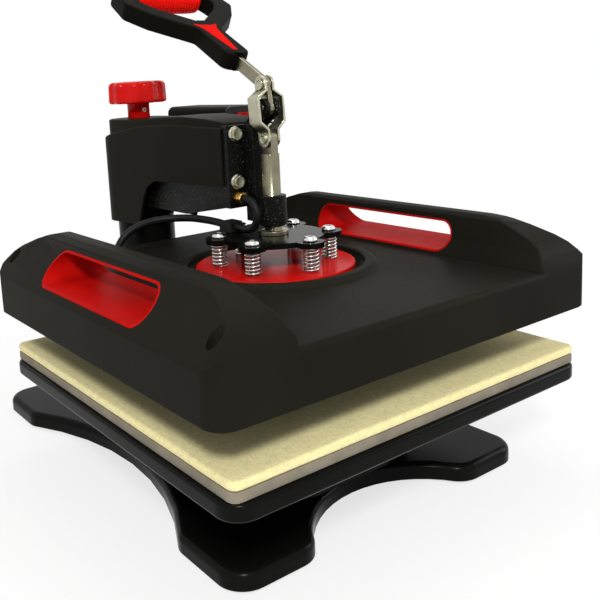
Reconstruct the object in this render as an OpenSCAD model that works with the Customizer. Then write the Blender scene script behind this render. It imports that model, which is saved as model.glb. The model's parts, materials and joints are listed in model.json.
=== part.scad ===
// Swing-away flat heat press: a sprung heated head on a swinging arm over a padded bed.
// Millimetres, +Z up, front of the press towards -Y, floor at z = 0.
// The origin is under the middle of the outer box, so the bed sits a little in front of it.

/* [Bed] */
// Side of the square pads
pad_w = 380; // [300:5:420]
// How far the lower plate stands out beyond the pads
plate_margin = 4; // [2:1:10]
// Thickness of the lower plate
plate_t = 14; // [10:1:16]
// Thickness of the grey silicone pad
silicone_t = 8; // [4:1:12]
// Thickness of the cream felt pad
felt_t = 8; // [4:1:12]
// Height of the lower plate's top above the floor
bed_h = 102; // [80:1:130]

/* [Base] */
// Width over the four feet
base_w = 330; // [280:2:360]
// Length over the four feet
base_l = 470; // [464:2:500]
// Thickness of the cast foot plate
base_t = 15; // [10:1:20]
// Height of the rubber feet under the casting
foot_h = 3; // [2:0.5:6]
// How far the feet reach in front of the bed's middle
base_front = 150; // [120:1:170]

/* [Post and arm] */
// Bed middle to post axis
post_reach = 246; // [240:1:270]
// Outer diameter of the post
post_d = 66; // [56:1:70]
// Diameter of the shaft that the arm swings on
shaft_d = 36; // [28:1:40]
// Height of the post's top
post_top = 234; // [228:1:236]
// Wall of the moulded covers
cover_wall = 3; // [2:0.25:4]

/* [Head] */
// Width of the head cover
head_w = 406; // [398:2:420]
// Depth of the head cover
head_d = 392; // [388:2:410]
// Height of the cover from its lower edge to its deck
skirt_h = 41; // [36:1:46]
// Height of the two grip ridges above the deck
ridge_h = 40; // [36:1:44]
// Thickness of the heated platen
platen_t = 18; // [12:1:22]
// Radius of the circle that the spring bolts stand on
spring_circle = 52; // [46:1:56]
// Number of spring bolts
spring_count = 6; // [4:1:8]
// Working height of the springs
spring_h = 22; // [20:1:26]
// Wire diameter of the springs
spring_wire = 2; // [1.6:0.1:2.2]

/* [Lever] */
// Height of the lever's fixed pivot above the floor
pivot_z = 343; // [340:1:350]
// Crank from the fixed pivot to the link pin
crank_r = 22; // [20:0.5:23]
// Length of the toggle links between their pins
link_l = 50; // [48:0.5:52]
// Crank lean to the rear when the head is up
crank_lean = 10; // [6:1:14]
// Swing of the lever from up to closed
lever_swing = 145; // [130:1:150]
// Tilt of the handle above level when the head is up
handle_tilt = 29; // [25:0.5:40]
// Diameter of the link and lever pins
pin_d = 8; // [6:0.5:9]

/* [Fits] */
// Radial clearance of turning and sliding pins
run_fit = 0.05; // [0.02:0.01:0.1]
// Clearance between pieces that move past each other
pass_gap = 0.4; // [0.3:0.05:0.6]
// Gap that the closed head leaves above the felt
closing_gap = 0.4; // [0.3:0.1:1]

/* [Hidden] */
$fn = 64;
eps = 0.01;
// Length of a cutter that passes any piece
far = 400;

// Lever geometry in the Y-Z plane, with y measured from the plunger axis
function plunger_drop(a) = sqrt(pow(link_l, 2) - pow(crank_r * sin(a), 2)) - crank_r * cos(a);
stroke = plunger_drop(lever_swing - crank_lean) - plunger_drop(-crank_lean);
crank_pin_y = crank_r * sin(crank_lean);
crank_pin_z = pivot_z + crank_r * cos(crank_lean);
link_pin_z = pivot_z - plunger_drop(-crank_lean);
link_lean = asin(crank_pin_y / link_l);
pin_r = pin_d / 2;

// Heights from the floor up
base_top = foot_h + base_t;
plate_z = bed_h - plate_t;
silicone_top = bed_h + silicone_t;
felt_top = silicone_top + felt_t;
platen_z = felt_top + closing_gap + stroke;
platen_top = platen_z + platen_t;
platen_lip = 1;
cover_z = platen_z + platen_lip;
deck_z = cover_z + skirt_h;
crest_z = deck_z + ridge_h;
heater_t = 3;
heater_top = platen_top + heater_t;
wool_t = 8;
wool_top = heater_top + wool_t;
red_t = 6;
red_top = deck_z + 3;
red_z = red_top - red_t;
spider_z = red_top + spring_h;
spider_t = 5;
spider_top = spider_z + spider_t;
hub_t = 4;
guide_z = spider_top + 8;
guide_top = guide_z + 29;
guide_r = 13;
hub_z = post_top + 2;

// Plan positions
plate_w = pad_w + 2 * plate_margin;
front_reach = max(plate_w, head_d) / 2;
rear_reach = base_l - base_front;
bed_y = (front_reach - rear_reach) / 2;
post_y = bed_y + post_reach;
base_y = bed_y + base_l / 2 - base_front;
plate_r = 20;
pad_r = 7;
post_r = post_d / 2;
shaft_r = shaft_d / 2;

// Head plan
head_r = 18;
rim_r = 83;
rim_out = 97;
red_r = 75;
ledge_r = 77;
ledge_screw_r = 80;
ledge_z = deck_z - 11;
ledge_t = 3;
corner_x = head_w / 2 - 16;
corner_y = head_d / 2 - 20;
screw_floor = deck_z - 16;
platen_w = head_w - 26;
platen_d = head_d - 12;
heater_w = platen_w - 40;
heater_d = platen_d - 36;
ridge_foot = head_w / 2 - 74;
ridge_in = head_w / 2 - 54;
ridge_out = head_w / 2 - 42;
// Fall of the ridges towards their ends: inset from the end, drop below the crest
hip_line = [[0, 46], [0.8, 41], [2.5, 35.5], [5, 29], [10, 22], [20, 15.5], [40, 7.5], [60, 2], [76, 0]];
edge_r = 6;
slot_half = 94;
slot_z = deck_z + 2;
slot_h = 30;
slot_fit = 0.1;
liner_t = 2;

// Arm, seen from the side: y from the bed's middle
flange_y = 27;
flange_t = 8;
beam_y = flange_y + flange_t;
beam_x = 26;
beam_front_z = 250;
beam_knee_y = 111;
beam_top = 322;
hub_r = 30;
hub_top = 318;
nut_w = 24;
nut_h = 14;
nut_z = 274;
nut_travel = 16;
rod_r = 6;
rod_z = 256;
rod_grip = 16;
arm_cover_front = 31;
arm_cover_rear = 41;
arm_cover_y = beam_y + pass_gap;
leg_z = 214;
shoulder_z = 326;
arm_top = 332;
inset = 6;
// Side lines of the arm cover, hand-placed: y from the bed's middle, z from the line's own height
shoulder_line = [[235, -8], [185, 0], [120, 2], [0, -1]];
top_line = [[195, 0], [150, 3], [110, 4], [70, 2]];
leg_line = [[193, 3], [189, 14], [181, 33], [171, 47], [156, 54], [0, 57]];
bolt_x = 20;
bolt_low = 275;
bolt_high = 320;
gland_x = 20.5;
gland_z = 260;

// Knob on the post axis
knob_r = 34.5;
knob_z = 349;
knob_h = 25;
stem_r = 12.8;

// Plunger and links
plunger_r = 8.5;
flat_half = 7.4;
tongue_half = 4;
tongue_r = 8;
tongue_z = link_pin_z - 14;
bar_half = 2.5;
ear_gap = bar_half + pass_gap;
ear_t = 5;
ear_r = 8.6;
link_t = 2.4;
link_r = 8;
link_low_x = tongue_half + pass_gap;
link_mid_x = ear_gap + ear_t + 4.9;
link_high_x = bar_half + pass_gap;

// Handle, in its own plane: u along the handle from the crank pin
neck_u = 44;
fork_u = 106;
corner_u = 156;
grip_u = 192;
corner_x_half = 54;
grip_half = 39;
grip_r = 15;
bar_core_r = 8;
frame_t = 18;
inlay_t = 1.5;

// Control box on the right of the arm
box_x = 48;
box_w = 52;
box_y = 140;
box_l = 122;
box_z = 241;
box_h = 100;
box_wall = 2.5;
panel_t = 4;
lens_w = 40;
lens_h = 22;
lens_z = box_z + 64;
button_w = 10;
button_h = 8;
button_z = box_z + 32;
button_step = 16;
button_travel = 1;
rocker_w = 15;
rocker_h = 10;
rocker_tilt = 6;
trunnion_r = 1.2;
trunnion_l = 1.5;
rocker_x = box_x + 20;
rocker_z = box_z + box_h - 12;
standoff_r = 6;
standoff_y = [162, 205];
standoff_z = 296;
inlet_w = 28;
inlet_h = 21;
board_x = box_x + 6;
board_y = box_y + 6;
board_z = box_z + 10;
board_w = box_w - 12;
board_h = box_h - 60;

// Heater cable: hand-placed centre-line points, y from the bed's middle
cable_d = 7.5;
cable_sides = 10;
clip_l = 16;
clip_w = 17;
clip_h = 10.5;
clip_p = [-19.5, 42, spider_top + 5.5];
clip_front = clip_p[1] - clip_l / 2;
// Half the gap between the two cable stretches, which meet inside the clip's mouth
cable_split = 0.6;
// Bend of the upper stretch, from the gland round to the clip
drop_r = (gland_z - clip_p[2]) / 2;
grommet_p = [-101, 126, deck_z];
loop_points = [
    [clip_p[0], clip_front + cable_split, clip_p[2]],
    clip_p,
    clip_p + [0, clip_l / 2 + 1, 0],
    [-20.5, 62, 232],
    [-23.5, 78, 233],
    [-31, 96, 234],
    [-44, 110, 234],
    [-60, 119, 233],
    [-78, 123, 229],
    [-92, 125, 221],
    [-100, 126, 210],
    [-101, 126, 202],
    [-101, 126, wool_top + 8]
];
drop_points = concat(
    [for (a = [0:30:180])
        [2 * sin(a) + a / 180 - gland_x, flange_y - 12 - drop_r * sin(a), gland_z - drop_r * (1 - cos(a))]],
    [[clip_p[0], clip_front - 8, clip_p[2]], [clip_p[0], clip_front - cable_split, clip_p[2]]]
);

module at_bed(z = 0) {
    translate([0, bed_y, z]) children();
}

module at_post(z = 0) {
    translate([0, post_y, z]) children();
}

// Plane shape with its first axis along +Y and its second along +Z, spread evenly about x = 0
module side_slab(w) {
    translate([-w / 2, bed_y, 0])
        rotate([90, 0, 90])
            linear_extrude(w)
                children();
}

module rounded_rect(w, d, r) {
    square([w - 2 * r, d], center = true);
    square([w, d - 2 * r], center = true);
    for (x = [-1, 1], y = [-1, 1])
        translate([x * (w / 2 - r), y * (d / 2 - r)])
            circle(r);
}

// Straight bar between two points of a plane
module plain_bar(p, q, r) {
    run = q - p;
    translate(p)
        rotate(atan2(run[1], run[0]))
            translate([0, -r])
                square([norm(run), 2 * r]);
}

// Straight bar with round ends
module stroke_bar(p, q, r) {
    plain_bar(p, q, r);
    translate(p)
        circle(r);
    translate(q)
        circle(r);
}

module x_pin(r, half) {
    rotate([0, 90, 0])
        cylinder(r = r, h = 2 * half, center = true);
}

module hex_bolt(r, shank, head_r, head_h) {
    translate([0, 0, -shank])
        cylinder(r = r, h = shank + eps);
    cylinder(r = head_r, h = head_h, $fn = 6);
}

// Bed

base_arc_half = 88;
front_sag = 55;
rear_sag = 24;
side_sag = 42;
side_half = 155;
function arc_r(half, sag) = (half * half + sag * sag) / (2 * sag);

module base_outline() {
    front_r = arc_r(base_arc_half, front_sag);
    rear_r = arc_r(base_arc_half, rear_sag);
    side_r = arc_r(side_half, side_sag);
    corner = 24;
    offset(r = corner, $fn = 48)
        offset(delta = -corner)
            difference() {
                square([base_w, base_l], center = true);
                translate([0, -base_l / 2 - front_r + front_sag])
                    circle(front_r);
                translate([0, base_l / 2 + rear_r - rear_sag])
                    circle(rear_r);
                for (s = [-1, 1])
                    translate([s * (base_w / 2 + side_r - side_sag), 0])
                        circle(side_r);
            }
}

base_wall = 8;
base_web = 6;
base_rib = 6;
foot_pad_r = 16;
foot_sink = 2;
foot_x = base_w / 2 - 32;
foot_y = base_l / 2 - 34;
pedestal_w = 170;
pedestal_d = 200;
pedestal_wall = 14;
ped_x = pedestal_w / 2 - 20;
ped_y = pedestal_d / 2 - 20;
bed_bolt_r = 4;
post_flange_r = 54;
post_flange_t = 12;
post_bolt_circle = 44;
post_bolt_r = 4;

module foot_places() {
    for (x = [-1, 1], y = [-1, 1])
        translate([x * foot_x, base_y + y * foot_y, 0])
            children();
}

module pedestal_places() {
    for (x = [-1, 1], y = [-1, 1])
        translate([x * ped_x, bed_y + y * ped_y, 0])
            children();
}

module post_bolt_places() {
    for (a = [45:90:315])
        at_post()
            rotate(a)
                translate([post_bolt_circle, 0, 0])
                    children();
}

// Hollow of the casting's underside, left standing round the bolts and along the ribs
module base_hollow() {
    difference() {
        translate([0, base_y])
            offset(delta = -base_wall)
                base_outline();
        for (x = [-1, 1], y = [-1, 1]) {
            translate([x * foot_x, base_y + y * foot_y])
                circle(foot_pad_r + base_wall / 2);
            translate([x * ped_x, bed_y + y * ped_y])
                circle(8 + base_wall / 2);
        }
        translate([0, post_y])
            circle(post_flange_r);
        for (x = [-1, 1])
            translate([x * ped_x, base_y])
                square([base_rib, 2 * base_l], center = true);
        for (y = [-1, 1])
            translate([0, bed_y + y * ped_y])
                square([2 * base_w, base_rib], center = true);
    }
}

module base_casting() {
    color([0.05, 0.05, 0.055])
        difference() {
            translate([0, base_y, foot_h])
                linear_extrude(base_t)
                    base_outline();
            translate([0, 0, foot_h - 1])
                linear_extrude(base_t - base_web + 1)
                    base_hollow();
            foot_places()
                cylinder(r = foot_pad_r, h = foot_h + foot_sink);
            pedestal_places() {
                cylinder(r = bed_bolt_r, h = base_top + eps);
                cylinder(r = 8, h = foot_h + 7);
            }
            post_bolt_places()
                cylinder(r = post_bolt_r, h = base_top + eps);
        }
}

module rubber_feet() {
    color([0.03, 0.03, 0.03])
        foot_places()
            cylinder(r = foot_pad_r, h = foot_h + foot_sink);
}

module pedestal() {
    color([0.05, 0.05, 0.055])
        difference() {
            at_bed(base_top)
                linear_extrude(plate_z - base_top)
                    rounded_rect(pedestal_w, pedestal_d, 30);
            difference() {
                at_bed(base_top - eps)
                    linear_extrude(plate_z - base_top - pedestal_wall)
                        rounded_rect(pedestal_w - 2 * pedestal_wall, pedestal_d - 2 * pedestal_wall, 18);
                pedestal_places()
                    cylinder(r = 16, h = plate_z);
            }
            pedestal_places()
                cylinder(r = bed_bolt_r, h = plate_z + eps);
        }
}

pedestal_bolt_l = 30;

module pedestal_bolts() {
    color("silver")
        pedestal_places()
            translate([0, 0, foot_h + 7])
                mirror([0, 0, 1])
                    hex_bolt(bed_bolt_r, pedestal_bolt_l, 7.5, 5.3);
}

plate_head_h = 5;
plate_bolt_l = 24;

module lower_platen() {
    color([0.06, 0.06, 0.065])
        difference() {
            at_bed(plate_z)
                linear_extrude(plate_t)
                    rounded_rect(plate_w, plate_w, plate_r);
            pedestal_places() {
                translate([0, 0, plate_z - eps])
                    cylinder(r = bed_bolt_r, h = plate_t);
                translate([0, 0, bed_h - plate_head_h])
                    cylinder(r = 8, h = plate_head_h + eps);
            }
        }
}

module platen_bolts() {
    color("silver")
        pedestal_places()
            translate([0, 0, bed_h - plate_head_h])
                difference() {
                    union() {
                        translate([0, 0, -plate_bolt_l])
                            cylinder(r = bed_bolt_r, h = plate_bolt_l + eps);
                        cylinder(r = 7, h = plate_head_h - 0.5);
                    }
                    translate([0, 0, 2])
                        cylinder(r = 3.4, h = plate_head_h, $fn = 6);
                }
}

module silicone_pad() {
    color([0.45, 0.42, 0.39])
        at_bed(bed_h)
            linear_extrude(silicone_t)
                rounded_rect(pad_w, pad_w, pad_r);
}

module felt_pad() {
    color([0.9, 0.86, 0.68])
        at_bed(silicone_top)
            linear_extrude(felt_t)
                rounded_rect(pad_w, pad_w, pad_r);
}

// Post

bush_t = 4;
bush_l = 32;
shaft_z = 112;
post_bolt_l = 26;

module post_column() {
    color([0.06, 0.06, 0.065])
        difference() {
            at_post(base_top)
                union() {
                    cylinder(r = post_r, h = post_top - base_top);
                    cylinder(r = post_flange_r, h = post_flange_t);
                }
            at_post(base_top - eps)
                cylinder(r = shaft_r + bush_t, h = post_top);
            post_bolt_places()
                cylinder(r = post_bolt_r, h = base_top + post_flange_t + eps);
        }
}

module post_bolts() {
    color("silver")
        post_bolt_places()
            translate([0, 0, base_top + post_flange_t])
                hex_bolt(post_bolt_r, post_bolt_l, 7.5, 5.3);
}

module post_bushes() {
    color([0.72, 0.55, 0.3])
        for (z = [post_top - bush_l, shaft_z + 6])
            at_post(z)
                difference() {
                    cylinder(r = shaft_r + bush_t, h = bush_l);
                    translate([0, 0, -eps])
                        cylinder(r = shaft_r + run_fit, h = bush_l + 1);
                }
}

module thrust_washer() {
    color([0.72, 0.55, 0.3])
        at_post(post_top)
            difference() {
                cylinder(r = post_r - 2, h = hub_z - post_top - run_fit);
                translate([0, 0, -eps])
                    cylinder(r = shaft_r + 0.4, h = hub_z);
            }
}

// Arm

shaft_top = 272;

module pivot_shaft() {
    color("silver")
        at_post(shaft_z)
            difference() {
                cylinder(r = shaft_r, h = shaft_top - shaft_z);
                translate([0, 0, 250 - shaft_z])
                    cylinder(r = rod_r + 1, h = shaft_top);
            }
}

module front_bolt_places() {
    for (x = [-1, 1], z = [bolt_low, bolt_high])
        translate([x * bolt_x, bed_y + flange_y, z])
            rotate([90, 0, 0])
                children();
}

front_bolt_r = 4;
front_bolt_l = 26;

module arm_casting() {
    color([0.09, 0.09, 0.095])
        difference() {
            union() {
                side_slab(2 * beam_x)
                    polygon([
                        [beam_y, beam_front_z], [beam_knee_y, hub_z], [post_reach, hub_z],
                        [post_reach, hub_top], [beam_y, beam_top]
                    ]);
                at_post(hub_z)
                    cylinder(r = hub_r, h = hub_top - hub_z);
            }
            side_slab(2 * beam_x - 14)
                polygon([
                    [beam_y + 28, beam_front_z + 8], [beam_knee_y, hub_z + 8],
                    [post_reach - hub_r, hub_z + 8], [post_reach - hub_r, hub_top + 20],
                    [beam_y + 28, beam_top + 20]
                ]);
            at_post(hub_z - eps)
                cylinder(r = shaft_r, h = shaft_top - hub_z + eps);
            at_post(nut_z - 3)
                translate([-nut_w / 2 - pass_gap, -nut_w / 2 - pass_gap, 0])
                    cube([nut_w + 2 * pass_gap, nut_w + 2 * pass_gap, nut_h + nut_travel + 6]);
            at_post(shaft_top)
                cylinder(r = rod_r + run_fit, h = hub_top);
            front_bolt_places()
                translate([0, 0, -flange_t - front_bolt_l])
                    cylinder(r = front_bolt_r, h = front_bolt_l + 1);
            for (y = standoff_y)
                translate([beam_x - 8, bed_y + y, standoff_z])
                    rotate([0, 90, 0])
                        cylinder(r = 2.5, h = 9);
        }
}

// Plan of the arm cover, drawn in by d all round
module arm_plan(d, front) {
    polygon([
        [-arm_cover_front + d, front], [arm_cover_front - d, front],
        [arm_cover_rear - d, post_reach], [-arm_cover_rear + d, post_reach]
    ]);
    translate([0, post_reach])
        circle(arm_cover_rear - d);
}

// Solid of the arm cover drawn in by d: a shouldered body with an inset top
module arm_cover_solid(d, front) {
    rear = post_reach + arm_cover_rear + 10;
    intersection() {
        at_bed(leg_z - 10)
            linear_extrude(far)
                arm_plan(d, front);
        side_slab(far)
            polygon(concat(
                [[0, leg_z - 10], [rear, leg_z - 10], [rear, shoulder_z - 20 - d]],
                [for (p = shoulder_line) p + [0, shoulder_z - d]]
            ));
    }
    intersection() {
        at_bed(leg_z)
            linear_extrude(far)
                arm_plan(d + inset, front);
        side_slab(far)
            polygon(concat(
                [[0, leg_z], [rear, leg_z], [rear, arm_top - d]],
                [for (p = top_line) p + [0, arm_top - d]],
                [[0, shoulder_z - d]]
            ));
    }
}

module arm_cover() {
    color([0.13, 0.13, 0.125])
        difference() {
            arm_cover_solid(0, arm_cover_y);
            arm_cover_solid(cover_wall, 0);
            side_slab(far)
                polygon(concat(
                    [[0, leg_z - 20], [far, leg_z - 20], [far, leg_z - 3]],
                    [for (p = leg_line) p + [0, leg_z]]
                ));
            at_post(arm_top - 20)
                cylinder(r = stem_r + 1, h = 40);
            for (y = standoff_y)
                translate([0, bed_y + y, standoff_z])
                    rotate([0, 90, 0])
                        cylinder(r = standoff_r + 1, h = 80);
        }
}

bracket_w = 58;
web_half = 9.5;
web_y = 13;
boss_chamfer = 2.5;

module front_bracket() {
    ear_x = ear_gap + ear_t;
    boss_h = guide_top - guide_z;
    color([0.08, 0.08, 0.085])
        difference() {
            union() {
                translate([-bracket_w / 2, bed_y + flange_y, beam_front_z])
                    cube([bracket_w, flange_t, beam_top + 6 - beam_front_z]);
                translate([-web_half, bed_y + web_y, guide_z + 3])
                    cube([2 * web_half, flange_y - web_y + 1, beam_top + 2 - guide_z]);
                translate([-web_half, bed_y, guide_z + 3])
                    cube([2 * web_half, web_y + 1, boss_h - 3]);
                at_bed(guide_z)
                    rotate_extrude()
                        polygon([
                            [0, 0], [guide_r - boss_chamfer, 0], [guide_r + 0.6, boss_chamfer],
                            [guide_r, boss_h], [0, boss_h]
                        ]);
                difference() {
                    side_slab(2 * ear_x)
                        union() {
                            polygon([
                                [web_y, 300], [flange_y + 1, 300], [flange_y + 1, beam_top + 6],
                                [0.67 * ear_r, pivot_z + 0.74 * ear_r],
                                [-0.67 * ear_r, pivot_z - 0.74 * ear_r], [web_y, beam_top + 3]
                            ]);
                            translate([0, pivot_z])
                                circle(ear_r);
                        }
                    translate([-ear_gap, bed_y - 20, beam_top + 3])
                        cube([2 * ear_gap, 60, 60]);
                    translate([-tongue_half - 1, bed_y - 20, 290])
                        cube([2 * tongue_half + 2, 30.4, 45]);
                }
            }
            at_bed(guide_z - eps)
                cylinder(r = plunger_r + run_fit, h = guide_top - guide_z + 1);
            translate([0, bed_y, pivot_z])
                x_pin(pin_r, ear_x + 1);
            front_bolt_places()
                translate([0, 0, -flange_t - 1])
                    cylinder(r = front_bolt_r, h = flange_t + 2);
            translate([-gland_x, bed_y + flange_y - 1, gland_z])
                rotate([-90, 0, 0])
                    cylinder(r = 4, h = flange_t + 2);
        }
}

module front_bolts() {
    color("silver")
        front_bolt_places()
            hex_bolt(front_bolt_r, flange_t + front_bolt_l - 3, 7.3, 5.3);
}

lever_pin_half = ear_gap + ear_t + 1;

module lever_pin() {
    color("silver")
        translate([0, bed_y, pivot_z])
            x_pin(pin_r, lever_pin_half);
}

module cable_gland() {
    color([0.75, 0.6, 0.3])
        difference() {
            translate([-gland_x, bed_y + flange_y, gland_z])
                rotate([90, 0, 0])
                    union() {
                        cylinder(r = 6, h = 4, $fn = 6);
                        cylinder(r = 4.9, h = 9);
                        translate([0, 0, 6])
                            cylinder(r = 6, h = 5, $fn = 6);
                        translate([0, 0, -flange_t])
                            cylinder(r = 4, h = flange_t + 1);
                    }
            translate([-gland_x, bed_y + flange_y + 20, gland_z])
                rotate([90, 0, 0])
                    cylinder(r = 2.6, h = 40);
        }
}

// Control box

module box_shell() {
    mid_x = box_x + box_w / 2;
    color([0.12, 0.12, 0.12])
        difference() {
            translate([mid_x, bed_y + box_y + box_l, box_z + box_h / 2])
                rotate([90, 0, 0])
                    linear_extrude(box_l)
                        rounded_rect(box_w, box_h, 8);
            translate([mid_x, bed_y + box_y + box_l - box_wall, box_z + box_h / 2])
                rotate([90, 0, 0])
                    linear_extrude(box_l)
                        rounded_rect(box_w - 2 * box_wall, box_h - 2 * box_wall, 6);
            for (y = standoff_y)
                translate([box_x - 1, bed_y + y, standoff_z])
                    rotate([0, 90, 0])
                        cylinder(r = 2.5, h = box_wall + 2);
            translate([mid_x - inlet_w / 2, bed_y + box_y + box_l - 5, box_z + 16])
                cube([inlet_w, 10, inlet_h]);
        }
}

module button_places(i) {
    translate([box_x + box_w / 2 + i * button_step, bed_y + box_y, button_z])
        children();
}

module button_block(w, h, y0, y1) {
    translate([-w / 2, y0, -h / 2])
        cube([w, y1 - y0, h]);
}

module box_panel() {
    mid_x = box_x + box_w / 2;
    color([0.1, 0.1, 0.1])
        difference() {
            union() {
                translate([mid_x, bed_y + box_y, box_z + box_h / 2])
                    rotate([90, 0, 0])
                        linear_extrude(panel_t)
                            rounded_rect(box_w, box_h, 8);
                for (x = [board_x + 4, board_x + board_w - 4], z = [board_z + 4, board_z + board_h - 4])
                    translate([x, bed_y + board_y, z])
                        rotate([90, 0, 0])
                            cylinder(r = 3, h = board_y - box_y + 1);
            }
            translate([mid_x - lens_w / 2, bed_y + box_y - panel_t - 1, lens_z - lens_h / 2])
                cube([lens_w, panel_t + 2, lens_h]);
            for (i = [-1, 0, 1])
                button_places(i)
                    button_block(button_w + 2 * pass_gap, button_h + 2 * pass_gap, -panel_t - 1, 1);
            translate([rocker_x, bed_y + box_y, rocker_z]) {
                button_block(rocker_w + 2 * pass_gap, rocker_h + 2 * pass_gap, -panel_t - 1, 1);
                translate([0, -panel_t / 2, 0])
                    cylinder(r = trunnion_r + run_fit, h = rocker_h + 2 * trunnion_l + 1, center = true);
            }
        }
}

module display_lens() {
    color([0.03, 0.04, 0.05])
        translate([box_x + box_w / 2 - lens_w / 2, bed_y + box_y - panel_t + 0.6, lens_z - lens_h / 2])
            cube([lens_w, panel_t - 0.6, lens_h]);
}

module circuit_board() {
    color([0.1, 0.35, 0.16])
        translate([board_x, bed_y + board_y, board_z])
            cube([board_w, 1.6, board_h]);
}

module panel_button(i) {
    color([0.55, 0.55, 0.55])
        button_places(i)
            union() {
                button_block(button_w, button_h, -panel_t - 1.6, 1);
                button_block(button_w + 3, button_h + 3, 0.3, 1.8);
            }
}

module power_rocker() {
    color([0.85, 0.05, 0.05])
        translate([rocker_x, bed_y + box_y, rocker_z])
            translate([0, -panel_t / 2, 0])
                rotate(-rocker_tilt)
                    union() {
                        difference() {
                            button_block(rocker_w, rocker_h, -panel_t / 2 - 2.4, panel_t / 2 + 2);
                            translate([0, -panel_t / 2 - 11, 0])
                                cylinder(r = 9.5, h = rocker_h + 2, center = true);
                        }
                        cylinder(r = trunnion_r, h = rocker_h + 2 * trunnion_l, center = true);
                    }
}

module box_standoffs() {
    color("silver")
        for (y = standoff_y)
            translate([0, bed_y + y, standoff_z])
                rotate([0, 90, 0])
                    union() {
                        translate([0, 0, beam_x])
                            cylinder(r = standoff_r, h = box_x - beam_x);
                        translate([0, 0, beam_x - 7])
                            cylinder(r = 2.5, h = box_x - beam_x + 12);
                        translate([0, 0, box_x + box_wall])
                            cylinder(r = 5, h = 3.5, $fn = 6);
                    }
}

module mains_inlet() {
    mid_x = box_x + box_w / 2;
    rear = bed_y + box_y + box_l;
    color([0.04, 0.04, 0.04])
        difference() {
            union() {
                translate([mid_x - inlet_w / 2, rear - 18, box_z + 16])
                    cube([inlet_w, 18, inlet_h]);
                translate([mid_x - inlet_w / 2 - 4, rear, box_z + 13])
                    cube([inlet_w + 8, 2.5, inlet_h + 6]);
            }
            translate([mid_x - 12, rear - 14, box_z + 18.5])
                cube([24, 20, 16]);
        }
}

// Pressure knob

scallops = 10;

module pressure_knob() {
    color([0.85, 0.06, 0.05])
        difference() {
            at_post()
                union() {
                    translate([0, 0, knob_z])
                        rotate_extrude()
                            polygon([
                                [0, 0], [knob_r - 4, 0], [knob_r - 1.2, 1.2], [knob_r, 4],
                                [knob_r, knob_h - 7],
                                [knob_r - 1, knob_h - 3.5], [knob_r - 3.5, knob_h - 1.2],
                                [knob_r - 8, knob_h], [0, knob_h]
                            ]);
                    translate([0, 0, hub_top + pass_gap])
                        cylinder(r = stem_r, h = knob_z - hub_top);
                }
            for (i = [0:scallops - 1])
                at_post(knob_z - 1)
                    rotate(i * 360 / scallops)
                        translate([knob_r + 9, 0, 0])
                            cylinder(r = 12, h = knob_h + 2);
            at_post(hub_top)
                cylinder(r = rod_r, h = knob_z + rod_grip - hub_top);
            at_post(knob_z - 8)
                rotate([90, 0, 0])
                    cylinder(r = 2.5, h = 30);
        }
}

module knob_rod() {
    color("silver")
        at_post(rod_z)
            cylinder(r = rod_r, h = knob_z + rod_grip - rod_z);
}

module knob_set_screw() {
    color("silver")
        at_post(knob_z - 8)
            rotate([90, 0, 0])
                translate([0, 0, rod_r])
                    difference() {
                        cylinder(r = 2.5, h = stem_r - rod_r + 1);
                        translate([0, 0, stem_r - rod_r - 2])
                            cylinder(r = 1.3, h = 4, $fn = 6);
                    }
}

module pressure_nut() {
    color("silver")
        at_post(nut_z)
            difference() {
                translate([-nut_w / 2, -nut_w / 2, 0])
                    cube([nut_w, nut_w, nut_h]);
                translate([0, 0, -1])
                    cylinder(r = rod_r + run_fit, h = nut_h + 2);
            }
}

// Lever and handle

// Plane of the handle: u along the handle from the crank pin, v across it in X
module handle_plane(t, lift = 0) {
    translate([0, bed_y + crank_pin_y, crank_pin_z])
        rotate([handle_tilt, 0, 0])
            translate([0, 0, lift - t / 2])
                linear_extrude(t)
                    children();
}

bar_w = 12.4;
eye_r = 7.2;
bar_seat = 42;
crank_pin_p = [crank_pin_y, crank_pin_z];
bar_tip_p = crank_pin_p + (neck_u + bar_seat) * [cos(handle_tilt), sin(handle_tilt)];

module lever_bar() {
    color("silver")
        difference() {
            side_slab(2 * bar_half)
                union() {
                    translate([0, pivot_z])
                        circle(eye_r);
                    translate(crank_pin_p)
                        circle(eye_r);
                    plain_bar([0, pivot_z], crank_pin_p, bar_w / 2);
                    plain_bar(crank_pin_p, bar_tip_p, bar_w / 2);
                }
            translate([0, bed_y, pivot_z])
                x_pin(pin_r + run_fit, 20);
            translate([0, bed_y + crank_pin_y, crank_pin_z])
                x_pin(pin_r, 20);
        }
}

module crank_pin() {
    half = link_high_x + link_t + 2;
    color("silver")
        translate([0, bed_y + crank_pin_y, crank_pin_z])
            union() {
                x_pin(pin_r, half);
                for (s = [-1, 1])
                    translate([s * (half - 0.75), 0, 0])
                        x_pin(pin_r + 1.2, 0.75);
            }
}

neck_half = 14;
arm_half = 10;
crotch_r = 8;
thread_w = 0.2;

// Neck and two arms: thin centre lines thickened to the arms' width, with filleted crotches
module handle_outline() {
    neck_core = neck_half - arm_half;
    arm_path = [
        [neck_core, fork_u], [corner_x_half - 12, corner_u - 14], [corner_x_half, corner_u + 6],
        [corner_x_half - 3, grip_u]
    ];
    offset(r = -crotch_r, $fn = 48)
        offset(r = arm_half + crotch_r, $fn = 48) {
            translate([-neck_core, neck_u + arm_half])
                square([2 * neck_core, fork_u - neck_u - arm_half]);
            for (s = [-1, 1], i = [0:len(arm_path) - 2])
                scale([s, 1])
                    plain_bar(arm_path[i], arm_path[i + 1], thread_w / 2);
        }
}

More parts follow.
